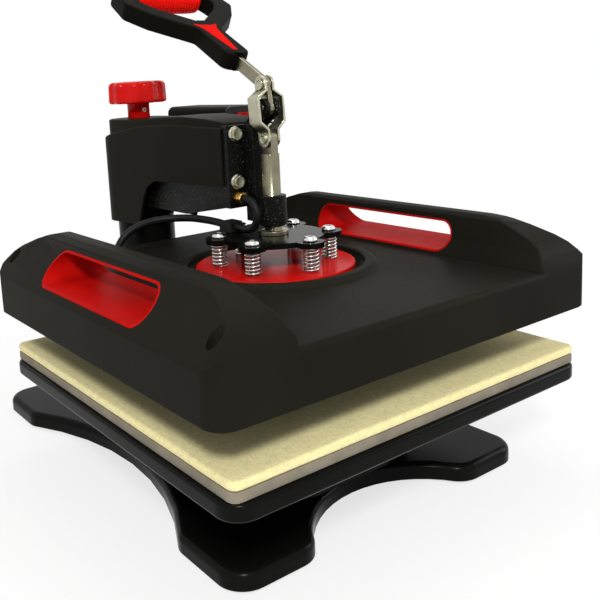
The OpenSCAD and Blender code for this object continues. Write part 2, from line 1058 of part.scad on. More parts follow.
module inlay_outline(d) {
    polygon([
        [-2.5 + d, neck_u + 9 + d], [2.5 - d, neck_u + 9 + d], [8 - d, fork_u - 6],
        [14 - d, fork_u + 5 - d], [4, fork_u + 2 - 2 * d], [0, fork_u + 3 - 2 * d], [-4, fork_u + 2 - 2 * d],
        [-14 + d, fork_u + 5 - d],
        [-8 + d, fork_u - 6]
    ]);
}

module handle_frame() {
    color([0.09, 0.09, 0.09])
        difference() {
            union() {
                handle_plane(frame_t)
                    handle_outline();
                translate([0, bed_y + crank_pin_y, crank_pin_z])
                    rotate([handle_tilt, 0, 0])
                        translate([0, grip_u, 0])
                            x_pin(bar_core_r, corner_x_half);
            }
            handle_plane(inlay_t + 1, frame_t / 2 - inlay_t / 2 + 0.5)
                inlay_outline(0);
            side_slab(2 * bar_half)
                plain_bar(crank_pin_p, bar_tip_p, bar_w / 2);
        }
}

module handle_inlay() {
    color([0.85, 0.06, 0.05])
        handle_plane(inlay_t + 0.3, frame_t / 2 - inlay_t / 2 + 0.15)
            inlay_outline(0.1);
}

module hand_grip() {
    color([0.85, 0.06, 0.05])
        translate([0, bed_y + crank_pin_y, crank_pin_z])
            rotate([handle_tilt, 0, 0])
                translate([-grip_half, grip_u, 0])
                    rotate([0, 90, 0])
                        rotate_extrude()
                            polygon([
                                [bar_core_r, 0], [grip_r - 2, 0], [grip_r - 0.5, 12], [grip_r, grip_half],
                                [grip_r - 0.5, 2 * grip_half - 12], [grip_r - 2, 2 * grip_half],
                                [bar_core_r, 2 * grip_half]
                            ]);
}

// Toggle links: bent strips that pass outside the ears and pinch in at both pins

module link_frame() {
    translate([0, bed_y, link_pin_z])
        rotate([-link_lean, 0, 0])
            children();
}

module link_strip() {
    low = link_low_x;
    mid = link_mid_x;
    high = link_high_x;
    polygon([
        [low, -link_r - 1], [low, 8.5], [mid, 16], [mid, 37.2], [high, 43.5], [high, link_l + link_r + 1],
        [high + link_t, link_l + link_r + 1], [high + link_t, 44.5], [mid + link_t, 38.2],
        [mid + link_t, 15],
        [low + link_t, 7.5], [low + link_t, -link_r - 1]
    ]);
}

module toggle_link(side) {
    color([0.75, 0.75, 0.73])
        link_frame()
            difference() {
                intersection() {
                    translate([0, 30, 0])
                        rotate([90, 0, 0])
                            linear_extrude(60)
                                mirror([side < 0 ? 1 : 0, 0])
                                    link_strip();
                    translate([-30, 0, 0])
                        rotate([90, 0, 90])
                            linear_extrude(60)
                                stroke_bar([0, 0], [0, link_l], link_r);
                }
                translate([0, 0, link_l])
                    x_pin(pin_r + run_fit, 30);
                x_pin(pin_r - 1, 30);
            }
}

module link_rivets() {
    color("silver")
        link_frame()
            for (s = [-1, 1])
                translate([s * (link_low_x + link_t), 0, 0])
                    union() {
                        translate([s * (-link_t / 2), 0, 0])
                            x_pin(pin_r - 1, link_t / 2);
                        translate([s * 0.8, 0, 0])
                            x_pin(pin_r + 0.6, 0.8);
                    }
}

// Plunger and spider

module plunger() {
    color([0.75, 0.75, 0.73])
        difference() {
            union() {
                at_bed(spider_top)
                    cylinder(r = 14, h = hub_t);
                at_bed(spider_z - 9)
                    cylinder(r = 5, h = spider_t + 10);
                intersection() {
                    at_bed(spider_top)
                        cylinder(r = plunger_r, h = tongue_z - spider_top);
                    translate([-flat_half, bed_y - flat_half, spider_top])
                        cube([2 * flat_half, 2 * flat_half, 200]);
                }
                side_slab(2 * tongue_half)
                    stroke_bar([0, tongue_z - 2], [0, link_pin_z], tongue_r - 0.6);
            }
            translate([0, bed_y, link_pin_z])
                x_pin(pin_r - 1, 20);
        }
}

module spring_places() {
    for (i = [0:spring_count - 1])
        at_bed()
            rotate(30 + i * 360 / spring_count)
                translate([spring_circle, 0, 0])
                    children();
}

lobe_r = 12.5;
spider_r = 48;
spring_bolt_r = 3;

module spider_plate() {
    color([0.05, 0.05, 0.055])
        difference() {
            union() {
                at_bed(spider_z)
                    cylinder(r = spider_r, h = spider_t);
                spring_places()
                    translate([0, 0, spider_z])
                        union() {
                            cylinder(r = lobe_r, h = spider_t);
                            translate([-30, -lobe_r + 2, 0])
                                cube([30, 2 * lobe_r - 4, spider_t]);
                        }
            }
            at_bed(spider_z - 1)
                cylinder(r = 5, h = spider_t + 2);
            spring_places()
                translate([0, 0, spider_z - 1])
                    cylinder(r = spring_bolt_r + 0.3, h = spider_t + 2);
        }
}

module spider_nut() {
    color("silver")
        at_bed(spider_z - 8)
            difference() {
                cylinder(r = 9.8, h = 8, $fn = 6);
                translate([0, 0, -1])
                    cylinder(r = 5, h = 10);
            }
}

module cable_clip() {
    color([0.04, 0.04, 0.04])
        difference() {
            at_bed()
                translate([clip_p[0] - clip_w / 2, clip_front, spider_top])
                    cube([clip_w, clip_l, clip_h]);
            at_bed()
                translate([clip_p[0], clip_p[1] + clip_l, clip_p[2]])
                    rotate([90, 0, 0])
                        cylinder(r = cable_d / 2 + 3 * run_fit, h = 2 * clip_l);
        }
}

// Round tube swept along points, with a ring square to the run at each point
function unit(v) = v / norm(v);
function run_at(p, i) = unit(p[min(i + 1, len(p) - 1)] - p[max(i - 1, 0)]);
function across(t) = unit(cross(t, abs(t[2]) > 0.8 ? [0, 1, 0] : [0, 0, 1]));
function next_side(side, t) = unit(side - t * (side * t));
function sides_along(p, i = 0, side = undef) =
    i == len(p) ? []
    : let (t = run_at(p, i), s = side == undef ? across(t) : next_side(side, t))
        concat([s], sides_along(p, i + 1, s));

module swept_tube(p, r, n) {
    last = len(p) - 1;
    side = sides_along(p);
    rings = [
        for (i = [0:last], k = [0:n - 1])
            let (t = run_at(p, i), up = cross(t, side[i]), a = 360 * k / n)
                p[i] + r * (cos(a) * side[i] + sin(a) * up)
    ];
    skin = [
        for (i = [0:last - 1], k = [0:n - 1])
            let (m = (k + 1) % n)
                each [[i * n + k, (i + 1) * n + k, (i + 1) * n + m], [i * n + k, (i + 1) * n + m, i * n + m]]
    ];
    cap_0 = [for (k = [0:n - 1]) k];
    cap_1 = [for (k = [0:n - 1]) last * n + n - 1 - k];
    polyhedron(points = rings, faces = concat([cap_0], skin, [cap_1]), convexity = 6);
}

// Smooth run through hand-placed points, with extra points between them
function catmull(a, b, c, d, t) =
    0.5 * (2 * b + (c - a) * t + (2 * a - 5 * b + 4 * c - d) * t * t + (3 * b - a - 3 * c + d) * t * t * t);
function smooth_run(p, steps) = [
    for (i = [0:len(p) - 2], s = [0:steps - 1])
        catmull(p[max(i - 1, 0)], p[i], p[i + 1], p[min(i + 2, len(p) - 1)], s / steps),
    p[len(p) - 1]
];

module cable_loop() {
    color([0.05, 0.05, 0.05])
        at_bed()
            swept_tube(smooth_run(loop_points, 2), cable_d / 2, cable_sides);
}

module cable_drop() {
    color([0.05, 0.05, 0.05])
        at_bed()
            swept_tube(smooth_run(drop_points, 2), cable_d / 2, cable_sides);
}

// Sprung platen

module pressure_plate() {
    color([0.82, 0.04, 0.04])
        difference() {
            at_bed(red_z)
                cylinder(r = red_r, h = red_t);
            spring_places()
                translate([0, 0, red_z - 1])
                    cylinder(r = spring_bolt_r, h = red_t + 2);
        }
}

head_gap = 0.1;

module spring_bolts() {
    color("silver")
        spring_places()
            difference() {
                union() {
                    translate([0, 0, red_z])
                        cylinder(r = spring_bolt_r, h = spider_top + 1 - red_z);
                    translate([0, 0, spider_top + head_gap])
                        intersection() {
                            cylinder(r = 6.5, h = 4.4);
                            translate([0, 0, -5.6])
                                sphere(10);
                        }
                }
                translate([0, 0, spider_top + 2])
                    cylinder(r = 2, h = 5, $fn = 6);
            }
}

// Compression spring as one unbroken tube, with its ends square to the plates
spring_r = 6.6;
spring_curls = 5.5;
spring_rings = 8;
spring_sides = 6;
spring_rise = spring_h - 2 * spring_wire;
spring_steps = spring_curls * spring_rings;
spring_points = concat(
    [[spring_r, 0, 0]],
    [
        for (i = [0:spring_steps])
            let (a = 360 * i / spring_rings)
                [spring_r * cos(a), spring_r * sin(a), spring_wire + spring_rise * i / spring_steps]
    ],
    [[spring_r * cos(360 * spring_curls), spring_r * sin(360 * spring_curls), spring_h]]
);
spring_self_gap = min([
    for (i = [0:len(spring_points) - 1], k = [i + 5:1:len(spring_points) - 1])
        norm(spring_points[i] - spring_points[k])
]) - spring_wire;
echo(spring_self_gap = spring_self_gap);

module springs() {
    color("silver")
        spring_places()
            translate([0, 0, red_top])
                swept_tube(spring_points, spring_wire / 2, spring_sides);
}

pillar_r = 7;
pillar_x = 36;

module pillar_places() {
    for (x = [-1, 1], y = [-1, 1])
        at_bed()
            translate([x * pillar_x, y * pillar_x, 0])
                children();
}

module ledge_places() {
    for (a = [0:120:240])
        at_bed()
            rotate(a)
                translate([ledge_screw_r, 0, 0])
                    children();
}

module corner_places() {
    for (x = [-1, 1], y = [-1, 1])
        at_bed()
            translate([x * corner_x, y * corner_y, 0])
                children();
}

module platen_pillars() {
    color("silver")
        union() {
            pillar_places()
                translate([0, 0, platen_top])
                    cylinder(r = pillar_r, h = red_z - platen_top);
            ledge_places()
                translate([0, 0, platen_top])
                    difference() {
                        cylinder(r = 4.5, h = ledge_z - platen_top);
                        translate([0, 0, 4])
                            cylinder(r = 2, h = 20);
                    }
        }
}

thermo_r = 3;
corner_screw_r = 2.5;

module heat_platen() {
    color([0.6, 0.6, 0.62])
        difference() {
            at_bed(platen_z)
                linear_extrude(platen_t)
                    rounded_rect(platen_w, platen_d, pad_r);
            corner_places()
                translate([0, 0, platen_top - 12])
                    cylinder(r = corner_screw_r, h = 20);
            translate([0, bed_y + platen_d / 2 - 70, platen_z + platen_t / 2])
                rotate([-90, 0, 0])
                    cylinder(r = thermo_r + run_fit, h = 80);
        }
}

module thermocouple() {
    color("silver")
        translate([0, bed_y + platen_d / 2 - 69, platen_z + platen_t / 2])
            rotate([-90, 0, 0])
                cylinder(r = thermo_r, h = 68);
}

module pillar_holes(z, h) {
    pillar_places()
        translate([0, 0, z])
            cylinder(r = pillar_r + 0.5, h = h);
    ledge_places()
        translate([0, 0, z])
            cylinder(r = 5, h = h);
}

module heater_sheet() {
    color([0.7, 0.6, 0.4])
        difference() {
            at_bed(platen_top)
                linear_extrude(heater_t)
                    rounded_rect(heater_w, heater_d, 10);
            pillar_holes(platen_top - 1, heater_t + 2);
        }
}

module insulation() {
    color([0.85, 0.85, 0.82])
        difference() {
            at_bed(heater_top)
                linear_extrude(wool_t)
                    rounded_rect(heater_w, heater_d, 10);
            pillar_holes(heater_top - 1, wool_t + 2);
        }
}

// Head cover

// Cross-section of the right grip ridge, drawn in by d and open below
module ridge_outline(d) {
    half = head_w / 2;
    top = skirt_h + ridge_h;
    polygon([
        [ridge_foot, -2 * d], [half, -2 * d], [half, skirt_h - 2], [ridge_out + 7, top - 4],
        [ridge_out + 1, top], [ridge_in - 2, top], [ridge_foot + 9, skirt_h + 15], [ridge_foot, skirt_h]
    ]);
}

module ridge_section(d) {
    if (d > 0)
        offset(delta = -d)
            ridge_outline(d);
    else
        offset(r = edge_r, $fn = 32)
            offset(delta = -edge_r)
                ridge_outline(0);
}

// Side view of a ridge, drawn in by d and open below
module ridge_side(d) {
    half = head_d / 2;
    top = skirt_h + ridge_h;
    offset(delta = -d)
        polygon(concat(
            [[-half, -2 * d], [half, -2 * d]],
            [for (p = hip_line) [half - p[0], top - p[1]]],
            [for (i = [len(hip_line) - 1:-1:0]) [hip_line[i][0] - half, top - hip_line[i][1]]]
        ));
}

module ridge_solid(side, d) {
    plan_w = head_w / 2 - ridge_foot + 2;
    intersection() {
        at_bed(cover_z)
            translate([0, head_d / 2, 0])
                rotate([90, 0, 0])
                    linear_extrude(head_d)
                        mirror([side < 0 ? 1 : 0, 0])
                            ridge_section(d);
        translate([0, 0, cover_z])
            side_slab(2 * head_w)
                ridge_side(d);
        at_bed(cover_z - 2 * d)
            translate([side * (head_w / 2 - plan_w / 2), 0, 0])
                linear_extrude(far)
                    rounded_rect(plan_w - 2 * d, head_d - 2 * d, head_r - d);
    }
}

// Skirt, deck with rounded front and rear edges, and the two ridges
module head_solid(d) {
    deck_half = ridge_foot + head_r;
    at_bed(cover_z)
        linear_extrude(skirt_h - edge_r - 2)
            rounded_rect(head_w - 2 * d, head_d - 2 * d, head_r - d);
    translate([0, 0, cover_z])
        side_slab(2 * deck_half)
            offset(r = edge_r - d, $fn = 32)
                translate([edge_r - head_d / 2, edge_r])
                    square([head_d - 2 * edge_r, skirt_h - 2 * edge_r]);
    for (s = [-1, 1])
        ridge_solid(s, d);
}

// Stadium-shaped bar along X through both ridges
module slot_bar(grow, x0, x1) {
    r = slot_h / 2 + grow;
    run = slot_half - slot_h / 2;
    translate([x0, bed_y, slot_z + slot_h / 2])
        rotate([90, 0, 90])
            linear_extrude(x1 - x0)
                union() {
                    square([2 * run, 2 * r], center = true);
                    for (s = [-1, 1])
                        translate([s * run, 0])
                            circle(r);
                }
}

rim_rise = 5;
boss_r = 9;
pocket_r = 6;

module head_cover() {
    color([0.13, 0.13, 0.125])
        difference() {
            union() {
                difference() {
                    head_solid(0);
                    translate([0, 0, -eps])
                        head_solid(cover_wall);
                }
                at_bed()
                    rotate_extrude()
                        polygon([
                            [ledge_r, ledge_z], [rim_r + 4, ledge_z], [rim_r + 4, deck_z - 1],
                            [rim_out, deck_z - 1], [rim_out, deck_z], [rim_out - 4, deck_z + rim_rise - 1],
                            [rim_out - 7, deck_z + rim_rise], [rim_r + 2, deck_z + rim_rise],
                            [rim_r, deck_z + rim_rise - 2], [rim_r, ledge_z + ledge_t],
                            [ledge_r, ledge_z + ledge_t]
                        ]);
                intersection() {
                    corner_places()
                        translate([0, 0, platen_top])
                            cylinder(r = boss_r, h = 60);
                    head_solid(0.5);
                }
            }
            at_bed(ledge_z + ledge_t)
                cylinder(r = rim_r, h = 40);
            at_bed(cover_z)
                cylinder(r = ledge_r, h = 60);
            for (s = [-1, 1])
                slot_bar(0, s < 0 ? -head_w : ridge_foot - 6, s < 0 ? -ridge_foot + 6 : head_w);
            corner_places() {
                translate([0, 0, screw_floor])
                    cylinder(r = pocket_r, h = 80);
                translate([0, 0, platen_top - 1])
                    cylinder(r = corner_screw_r, h = 80);
            }
            ledge_places()
                translate([0, 0, ledge_z - 1])
                    cylinder(r = 2, h = 20);
            at_bed()
                translate([grommet_p[0], grommet_p[1], deck_z - 10])
                    cylinder(r = cable_d / 2 + 2, h = 20);
        }
}

module slot_liner(side) {
    color([0.82, 0.04, 0.04])
        intersection() {
            difference() {
                slot_bar(-slot_fit, side < 0 ? -head_w : 0, side < 0 ? 0 : head_w);
                slot_bar(-slot_fit - liner_t, -head_w, head_w);
            }
            ridge_solid(side, 0);
        }
}

module cover_screws() {
    color("silver")
        union() {
            corner_places()
                difference() {
                    union() {
                        translate([0, 0, screw_floor])
                            cylinder(r = 5, h = 3.5);
                        translate([0, 0, platen_top - 11])
                            cylinder(r = corner_screw_r, h = screw_floor - platen_top + 12);
                    }
                    translate([0, 0, screw_floor + 1.5])
                        cylinder(r = 2, h = 5, $fn = 6);
                }
            ledge_places()
                union() {
                    translate([0, 0, ledge_z + ledge_t])
                        cylinder(r = 3, h = 2);
                    translate([0, 0, ledge_z - 7])
                        cylinder(r = 2, h = ledge_t + 8);
                }
        }
}

module cable_grommet() {
    r = cable_d / 2;
    color([0.04, 0.04, 0.04])
        at_bed()
            translate([grommet_p[0], grommet_p[1], deck_z])
                rotate_extrude()
                    polygon([
                        [r + 0.3, -5], [r + 2, -5], [r + 2, 0], [r + 4.5, 0], [r + 4.5, 2], [r + 2, 4],
                        [r + 0.3, 4]
                    ]);
}

base_casting();
rubber_feet();
pedestal();
pedestal_bolts();
lower_platen();
platen_bolts();
silicone_pad();
felt_pad();
post_column();
post_bolts();
post_bushes();
thrust_washer();
pivot_shaft();
arm_casting();
arm_cover();
front_bracket();
front_bolts();
lever_pin();
cable_gland();
box_shell();
box_panel();
display_lens();
circuit_board();
box_standoffs();
mains_inlet();
panel_button(-1);  // up_button
panel_button(0);  // down_button
panel_button(1);  // set_button
power_rocker();
pressure_knob();
knob_rod();
knob_set_screw();
pressure_nut();
lever_bar();
handle_frame();
handle_inlay();
hand_grip();
crank_pin();
toggle_link(-1);  // left_link
toggle_link(1);  // right_link
link_rivets();
plunger();
spider_plate();
spider_nut();
cable_clip();
cable_loop();
cable_drop();
pressure_plate();
spring_bolts();
springs();
platen_pillars();
heat_platen();
heater_sheet();
insulation();
thermocouple();
head_cover();
slot_liner(-1);  // left_liner
slot_liner(1);  // right_liner
cover_screws();
cable_grommet();
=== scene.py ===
"""Dresses the swing-away heat press: rounded edges, finishes, pads, springs, leads and the photo stage."""

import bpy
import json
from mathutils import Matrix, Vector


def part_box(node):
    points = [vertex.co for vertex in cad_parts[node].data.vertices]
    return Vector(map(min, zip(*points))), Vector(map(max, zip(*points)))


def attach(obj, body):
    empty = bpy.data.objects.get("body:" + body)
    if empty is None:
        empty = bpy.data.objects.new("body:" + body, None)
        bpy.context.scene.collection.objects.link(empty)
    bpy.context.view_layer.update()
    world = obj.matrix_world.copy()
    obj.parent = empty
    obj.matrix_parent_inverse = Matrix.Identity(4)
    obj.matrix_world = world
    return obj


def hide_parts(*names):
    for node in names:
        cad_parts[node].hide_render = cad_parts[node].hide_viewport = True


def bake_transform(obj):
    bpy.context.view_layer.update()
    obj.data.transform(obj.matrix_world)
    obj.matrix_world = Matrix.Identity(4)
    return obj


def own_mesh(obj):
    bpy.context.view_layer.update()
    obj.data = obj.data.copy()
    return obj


bl_info = {
    "name": "Swing-away heat press",
    "version": (1, 0, 0),
    "blender": (4, 5, 0),
    "location": "View3D > Sidebar > Heat press",
    "description": "Builds the finished surfaces of a swing-away heat press over its CAD frame",
    "category": "Object",
}

import json
import math

import bmesh
import bpy
import numpy as np
from bpy.props import FloatProperty, FloatVectorProperty, IntProperty, PointerProperty
from mathutils import Matrix

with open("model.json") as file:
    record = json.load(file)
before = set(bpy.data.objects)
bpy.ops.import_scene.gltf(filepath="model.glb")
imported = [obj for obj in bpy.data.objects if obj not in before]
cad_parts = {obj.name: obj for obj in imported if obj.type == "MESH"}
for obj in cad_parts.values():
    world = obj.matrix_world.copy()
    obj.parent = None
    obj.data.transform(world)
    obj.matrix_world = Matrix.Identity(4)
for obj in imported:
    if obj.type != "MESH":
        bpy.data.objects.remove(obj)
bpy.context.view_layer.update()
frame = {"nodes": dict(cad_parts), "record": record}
BODY = {node: body for body, nodes in frame["record"]["behaviour"]["bodies"].items() for node in nodes}

# A millimetre in metres, and how near points lie to count as one, in millimetres
MM = 0.001
WELD = 0.002


def corners(node):
    """Lowest and highest corner of a CAD node in millimetres."""
    low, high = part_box(node)
    return np.array(low) / MM, np.array(high) / MM


# Heights and places in millimetres, from the part's own solids
BED_Y = float(np.mean([c[1] for c in corners("felt_pad")]))
POST_Y = float(np.mean([c[1] for c in corners("knob_rod")]))
RED_Z, RED_TOP = (c[2] for c in corners("pressure_plate"))
SPIDER_Z, SPIDER_TOP = (c[2] for c in corners("spider_plate"))

# The head cover's deck lies this high above the foot of its skirt
SKIRT = 41.0
DECK_Z = corners("head_cover")[0][2] + SKIRT

# The springs' circle: radius in millimetres, count and first angle in degrees
SPRING_RING = (52.0, 6, 30.0)


# Colours and shader nodes

def linear(text):
    """sRGB hex value as linear light, with full alpha: each channel goes through the sRGB curve."""
    c = np.array([int(text[i:i + 2], 16) for i in (1, 3, 5)]) / 255
    c = np.where(c <= 0.04045, c / 12.92, ((c + 0.055) / 1.055) ** 2.4)
    return (*c.tolist(), 1.0)


def tone(colour, gain):
    """A colour made lighter or darker by a plain factor."""
    return (*(min(1.0, c * gain) for c in colour[:3]), 1.0)


def grain(size_mm):
    """Texture scale that makes one feature about this many millimetres wide."""
    return 1 / (size_mm * MM)


def add(mat, kind, inputs=None, **settings):
    """Adds one shader node with its settings, and fills its sockets with values or links."""
    n = mat.node_tree.nodes.new(kind)
    for key, value in settings.items():
        setattr(n, key, value)
    for key, value in (inputs or {}).items():
        if isinstance(value, bpy.types.NodeSocket):
            mat.node_tree.links.new(value, n.inputs[key])
        else:
            n.inputs[key].default_value = value
    return n


def blank(name):
    """Empty node material and the Object coordinates that its patterns read."""
    mat = bpy.data.materials.new(name)
    mat.use_nodes = True
    mat.node_tree.nodes.clear()
    return mat, add(mat, "ShaderNodeTexCoord").outputs["Object"]


def finish(mat, base, rough, normal=None, **constants):
    """Closes a material with a Principled shader: base and rough may be sockets, the rest are constants."""
    inputs = {"Base Color": base, "Roughness": rough}
    inputs.update({k.replace("_", " "): v for k, v in constants.items()})
    if normal is not None:
        inputs["Normal"] = normal
    shader = add(mat, "ShaderNodeBsdfPrincipled", inputs)
    add(mat, "ShaderNodeOutputMaterial", {"Surface": shader.outputs[0]})
    return mat


def noise(mat, at, size_mm, detail=2.0, rough=0.5, stretch=None, distort=0.0):
    """Noise with features of a real size, drawn out along an axis where the finish has a direction."""
    if stretch is not None:
        at = add(mat, "ShaderNodeMapping", {"Vector": at, "Scale": stretch}).outputs[0]
    inputs = {"Vector": at, "Scale": grain(size_mm), "Detail": detail, "Roughness": rough}
    return add(mat, "ShaderNodeTexNoise", {**inputs, "Distortion": distort}).outputs[0]


def blend_colour(mat, factor, a, b, low=0.35, high=0.65):
    """Goes from colour a to colour b as the factor goes from low to high."""
    f = add(mat, "ShaderNodeMapRange", {0: factor, 1: low, 2: high}).outputs[0]
    return add(mat, "ShaderNodeMix", {0: f, 6: a, 7: b}, data_type="RGBA").outputs[2]


def span(mat, factor, low, high):
    """A pattern of 0.3 to 0.7 spread between two values."""
    return add(mat, "ShaderNodeMapRange", {0: factor, 1: 0.3, 2: 0.7, 3: low, 4: high}).outputs[0]


def bump(mat, height, depth_mm, strength=1.0, under=None):
    """Relief of a real depth, laid over another relief where one is given."""
    inputs = {"Height": height, "Distance": depth_mm * MM, "Strength": strength}
    if under is not None:
        inputs["Normal"] = under
    return add(mat, "ShaderNodeBump", inputs).outputs[0]


# Materials

def stoved_enamel(name, colour, gloss=0.16):
    """Black stoved enamel: a wet gloss with faint orange peel and a thin film of handling haze."""
    mat, at = blank(name)
    haze = noise(mat, at, 70, 4.0)
    peel = noise(mat, at, 3.0, 1.0)
    base = blend_colour(mat, haze, tone(colour, 0.85), tone(colour, 1.25))
    return finish(mat, base, span(mat, haze, gloss, gloss + 0.1), bump(mat, peel, 0.03, 0.5),
                  Specular_IOR_Level=0.05)


def sand_cast_paint(name, colour):
    """Thin black paint on a sand casting: the sand's grain shows through, and painted bright specks stand for
    its glints.
    """
    mat, at = blank(name)
    sand = noise(mat, at, 1.8, 3.0, 0.6)
    swell = noise(mat, at, 9, 2.0)
    # Painted highlights: sparse specks of the colour made forty times lighter stand for glints off the sand
    # grain
    painted_glint = noise(mat, at, 1.4, 1.0)
    base = blend_colour(mat, painted_glint, colour, tone(colour, 40.0), 0.66, 0.78)
    low = bump(mat, swell, 0.5, 0.4)
    return finish(mat, base, span(mat, sand, 0.3, 0.46), bump(mat, sand, 0.5, 0.75, low),
                  Specular_IOR_Level=0.07)


def grained_abs(name, colour):
    """Moulded ABS with a spark-eroded grain, drawn coarser than real so that it shows; a warm satin."""
    mat, at = blank(name)
    fine = noise(mat, at, 1.3, 2.0)
    drift = noise(mat, at, 120, 3.0)
    base = blend_colour(mat, drift, tone(colour, 0.88), tone(colour, 1.16))
    return finish(mat, base, span(mat, fine, 0.38, 0.52), bump(mat, fine, 0.05, 0.55),
                  Specular_IOR_Level=0.018)


def red_abs(name, colour, gloss=0.14, shine=0.1):
    """Smooth red ABS straight from a polished mould: even colour with slight flow marks in the gloss."""
    mat, at = blank(name)
    flow = noise(mat, at, 34, 3.0, 0.5, (1.0, 1.0, 3.0))
    fine = noise(mat, at, 2.2, 1.0)
    base = blend_colour(mat, flow, tone(colour, 0.9), tone(colour, 1.08))
    return finish(mat, base, span(mat, flow, gloss, gloss + 0.1), bump(mat, fine, 0.02, 0.5),
                  Specular_IOR_Level=shine)


def red_powder_coat(name, colour):
    """Gloss red powder coat on a steel disc: orange peel under a clear wet shine."""
    mat, at = blank(name)
    peel = noise(mat, at, 4.0, 1.0)
    cloud = noise(mat, at, 45, 2.0)
    base = blend_colour(mat, cloud, tone(colour, 0.9), tone(colour, 1.1))
    return finish(mat, base, span(mat, cloud, 0.12, 0.2), bump(mat, peel, 0.03, 0.6), Specular_IOR_Level=0.03)


def plated_steel(name, colour, rough, streak=(1.0, 1.0, 9.0)):
    """Plated steel: a thin metal film over rolled or turned steel, with drawn streaks and cloudy patches."""
    mat, at = blank(name)
    drawn = noise(mat, at, 2.4, 3.0, 0.6, streak)
    patch = noise(mat, at, 16, 3.0)
    base = blend_colour(mat, patch, tone(colour, 0.82), tone(colour, 1.06))
    return finish(mat, base, span(mat, drawn, rough, rough + 0.14), bump(mat, drawn, 0.03, 0.5), Metallic=1.0)


def cast_metal(name, colour, rough):
    """Bare cast or sintered metal: dull, cloudy and slightly pitted."""
    mat, at = blank(name)
    pit = noise(mat, at, 1.5, 3.0)
    patch = noise(mat, at, 20, 3.0)
    base = blend_colour(mat, patch, tone(colour, 0.85), tone(colour, 1.1))
    return finish(mat, base, span(mat, pit, rough - 0.06, rough + 0.1), bump(mat, pit, 0.08, 0.6),
                  Metallic=1.0)


def wool_felt(name, colour):
    """Needled wool felt: matted fibres of several creams, cloudy from needling, with a soft nap."""
    mat, at = blank(name)
    fibre = noise(mat, at, 2.6, 4.0, 0.7, (1.0, 0.45, 1.0), 1.2)
    cross = noise(mat, at, 2.2, 3.0, 0.7, (0.4, 1.0, 1.0), 1.0)
    cloud = noise(mat, at, 28, 3.0)
    strands = blend_colour(mat, fibre, tone(colour, 0.7), tone(colour, 1.14), 0.3, 0.7)
    mixed = blend_colour(mat, cross, tone(colour, 0.82), tone(colour, 1.2), 0.3, 0.7)
    base = add(mat, "ShaderNodeMix", {0: cloud, 6: strands, 7: mixed}, data_type="RGBA").outputs[2]
    relief = bump(mat, cross, 0.5, 0.6, bump(mat, fibre, 0.6, 0.6))
    return finish(mat, base, 0.95, relief, Sheen_Weight=0.1, Sheen_Roughness=0.6, Specular_IOR_Level=0.1)


def sponge_silicone(name, colour):
    """Foamed silicone rubber cut from sheet: closed pores on the cut edge, a dry dull skin on top."""
    mat, at = blank(name)
    pores = add(mat, "ShaderNodeTexVoronoi", {"Vector": at, "Scale": grain(2.0)}).outputs[0]
    cloud = noise(mat, at, 24, 3.0)
    base = blend_colour(mat, cloud, tone(colour, 0.86), tone(colour, 1.12))
    return finish(mat, base, 0.78, bump(mat, pores, 0.35, 0.6), Specular_IOR_Level=0.3)


def moulded_rubber(name, colour, rough=0.62):
    """Moulded black rubber: nearly matt with a faint bloom."""
    mat, at = blank(name)
    bloom = noise(mat, at, 9, 3.0)
    fine = noise(mat, at, 1.4, 2.0)
    base = blend_colour(mat, bloom, colour, tone(colour, 1.7))
    return finish(mat, base, span(mat, bloom, rough, rough + 0.14), bump(mat, fine, 0.06, 0.5),
                  Specular_IOR_Level=0.15)


def smooth_coat(name, colour, rough):
    """Smooth moulded plastic or a smooth coating: an even body with slight sink marks in its shine."""
    mat, at = blank(name)
    sink = noise(mat, at, 22, 2.0)
    fine = noise(mat, at, 1.6, 2.0)
    base = blend_colour(mat, sink, tone(colour, 0.9), tone(colour, 1.15))
    return finish(mat, base, span(mat, fine, rough, rough + 0.1), bump(mat, fine, 0.03, 0.5),
                  Specular_IOR_Level=0.2)


def fibre_board(name, colour):
    """Pressed mineral sheet or wool: flaky, matt and uneven in tone."""
    mat, at = blank(name)
    flake = noise(mat, at, 5, 5.0, 0.65)
    base = blend_colour(mat, flake, tone(colour, 0.75), tone(colour, 1.15))
    return finish(mat, base, 0.88, bump(mat, flake, 0.4, 0.6))


FINISH = {}


